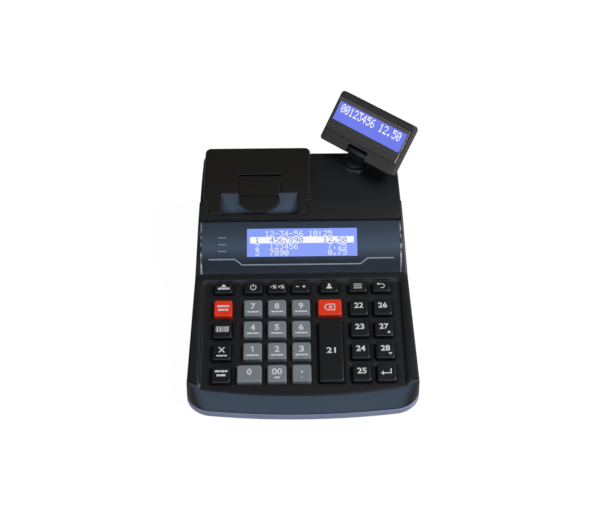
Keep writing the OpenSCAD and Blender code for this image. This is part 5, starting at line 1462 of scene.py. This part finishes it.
base_profile = [(6.0, 59.0), (6.0, 66.3), (9.2, 66.3), (9.5, 66.5), (9.5, 67.7), (9.38, 68.05), (9.1, 68.28),
                (8.5, 68.4), (8.0, 68.6), (7.4, 69.0), (6.9, 69.1)]
points, faces = turned(base_profile, 96)
neck_parts = [(on_neck(points), faces)]
points, faces = soft_prism(rounded(7.0, 3.5, 1.6) + (SHIFT/2, 0), 66.8, TILT_Z, 0.4)
neck_parts.append((on_neck(points), faces))
points, faces = turned([(3.4, -9.5), (3.85, -9.3), (4.0, -8.9), (4.0, 8.9), (3.85, 9.3), (3.4, 9.5)])
neck_parts.append((on_neck(points[:, [2, 0, 1]] + (SHIFT, 0, TILT_Z)), faces))
neck = put_solids("neck", neck_parts, "head_rear", "neck", ["display_neck"], 35.0)
print("neck faces:", len(neck.data.polygons))

# %% [markdown]
# ## Light, floor and camera
# The product stands on a pale table under large soft lights: a bluish card in front that is only seen
# mirrored in the sloping faces, a strong box over the right and a weak warm one over the left.

# %% Light, floor and camera
def soft_box(name, place, target, wide, high, power, colour=(1.0, 1.0, 1.0)):
    """A lamp of a width and a height at place that looks at target; power is in watts."""
    lamp = bpy.data.lights.new(name, "AREA")
    lamp.shape, lamp.size, lamp.size_y, lamp.energy, lamp.color = "RECTANGLE", wide, high, power, colour
    thing = bpy.data.objects.new(name, lamp)
    thing.location = place
    thing.rotation_euler = (Vector(target) - Vector(place)).to_track_quat("-Z", "Y").to_euler()
    bpy.context.collection.objects.link(thing)
    return thing


MIDDLE = (0.0, 0.115, 0.03)
front = soft_box("front card", (0.0, -1.12, 0.75), MIDDLE, 2.0, 0.8, 16.5, (0.42, 0.66, 1.0))
front.visible_diffuse = False
soft_box("right box", (1.05, -0.1, 1.25), MIDDLE, 0.8, 0.8, 19.0, (1.0, 0.98, 0.96))
soft_box("left box", (-1.1, -0.55, 1.0), MIDDLE, 0.8, 0.8, 3.9, (1.0, 0.95, 0.9))

floor_mesh = bpy.data.meshes.new("pale floor")
floor_mesh.from_pydata([(-3, -3, 0), (3, -3, 0), (3, 3, 0), (-3, 3, 0)], [], [[0, 1, 2, 3]])
floor_coat, floor_tree = blank("Pale floor")[:2]
lit = add(floor_tree, "BsdfDiffuse", {"Color": screen("#f2f2f2")})
plain = add(floor_tree, "Emission", {"Color": (1.0, 1.0, 1.0, 1.0), "Strength": 1.06})
from_camera = add(floor_tree, "LightPath").outputs["Is Camera Ray"]
share = add(floor_tree, "Math", {0: from_camera, 1: 0.92}, operation="MULTIPLY").outputs["Value"]
skin = add(floor_tree, "MixShader", {0: share, 1: lit.outputs["BSDF"], 2: plain.outputs["Emission"]})
ended(floor_tree, skin, "Shader")
floor_mesh.materials.append(floor_coat)
floor = bpy.data.objects.new("pale floor", floor_mesh)
bpy.context.collection.objects.link(floor)

world = bpy.data.worlds.new("studio")
world.use_nodes = True
tree = world.node_tree
tree.nodes.clear()
path = add(tree, "LightPath")
seen = add(tree, "Math", {0: path.outputs["Is Camera Ray"], 1: path.outputs["Is Transmission Ray"]},
           operation="MAXIMUM").outputs["Value"]
room = add(tree, "Background", {"Color": (0.8, 0.8, 0.8, 1.0), "Strength": 0.1})
white = add(tree, "Background", {"Color": (1.0, 1.0, 1.0, 1.0), "Strength": 1.0})
both = add(tree, "MixShader", {0: seen, 1: room.outputs["Background"], 2: white.outputs["Background"]})
add(tree, "OutputWorld", {"Surface": both.outputs["Shader"]})
bpy.context.scene.world = world

camera = bpy.data.objects.new("camera", bpy.data.cameras.new("camera"))
camera.location = (-0.00507, -0.38477, 0.66372)
camera.rotation_euler = (np.radians(39.4), 0.0, -0.015)
camera.data.lens, camera.data.sensor_width = 57.75, 36.0
camera.data.clip_start = 0.01
bpy.context.collection.objects.link(camera)
bpy.context.scene.camera = camera
bpy.context.scene.view_settings.view_transform = "Standard"
print("camera at", [round(v, 3) for v in camera.location])
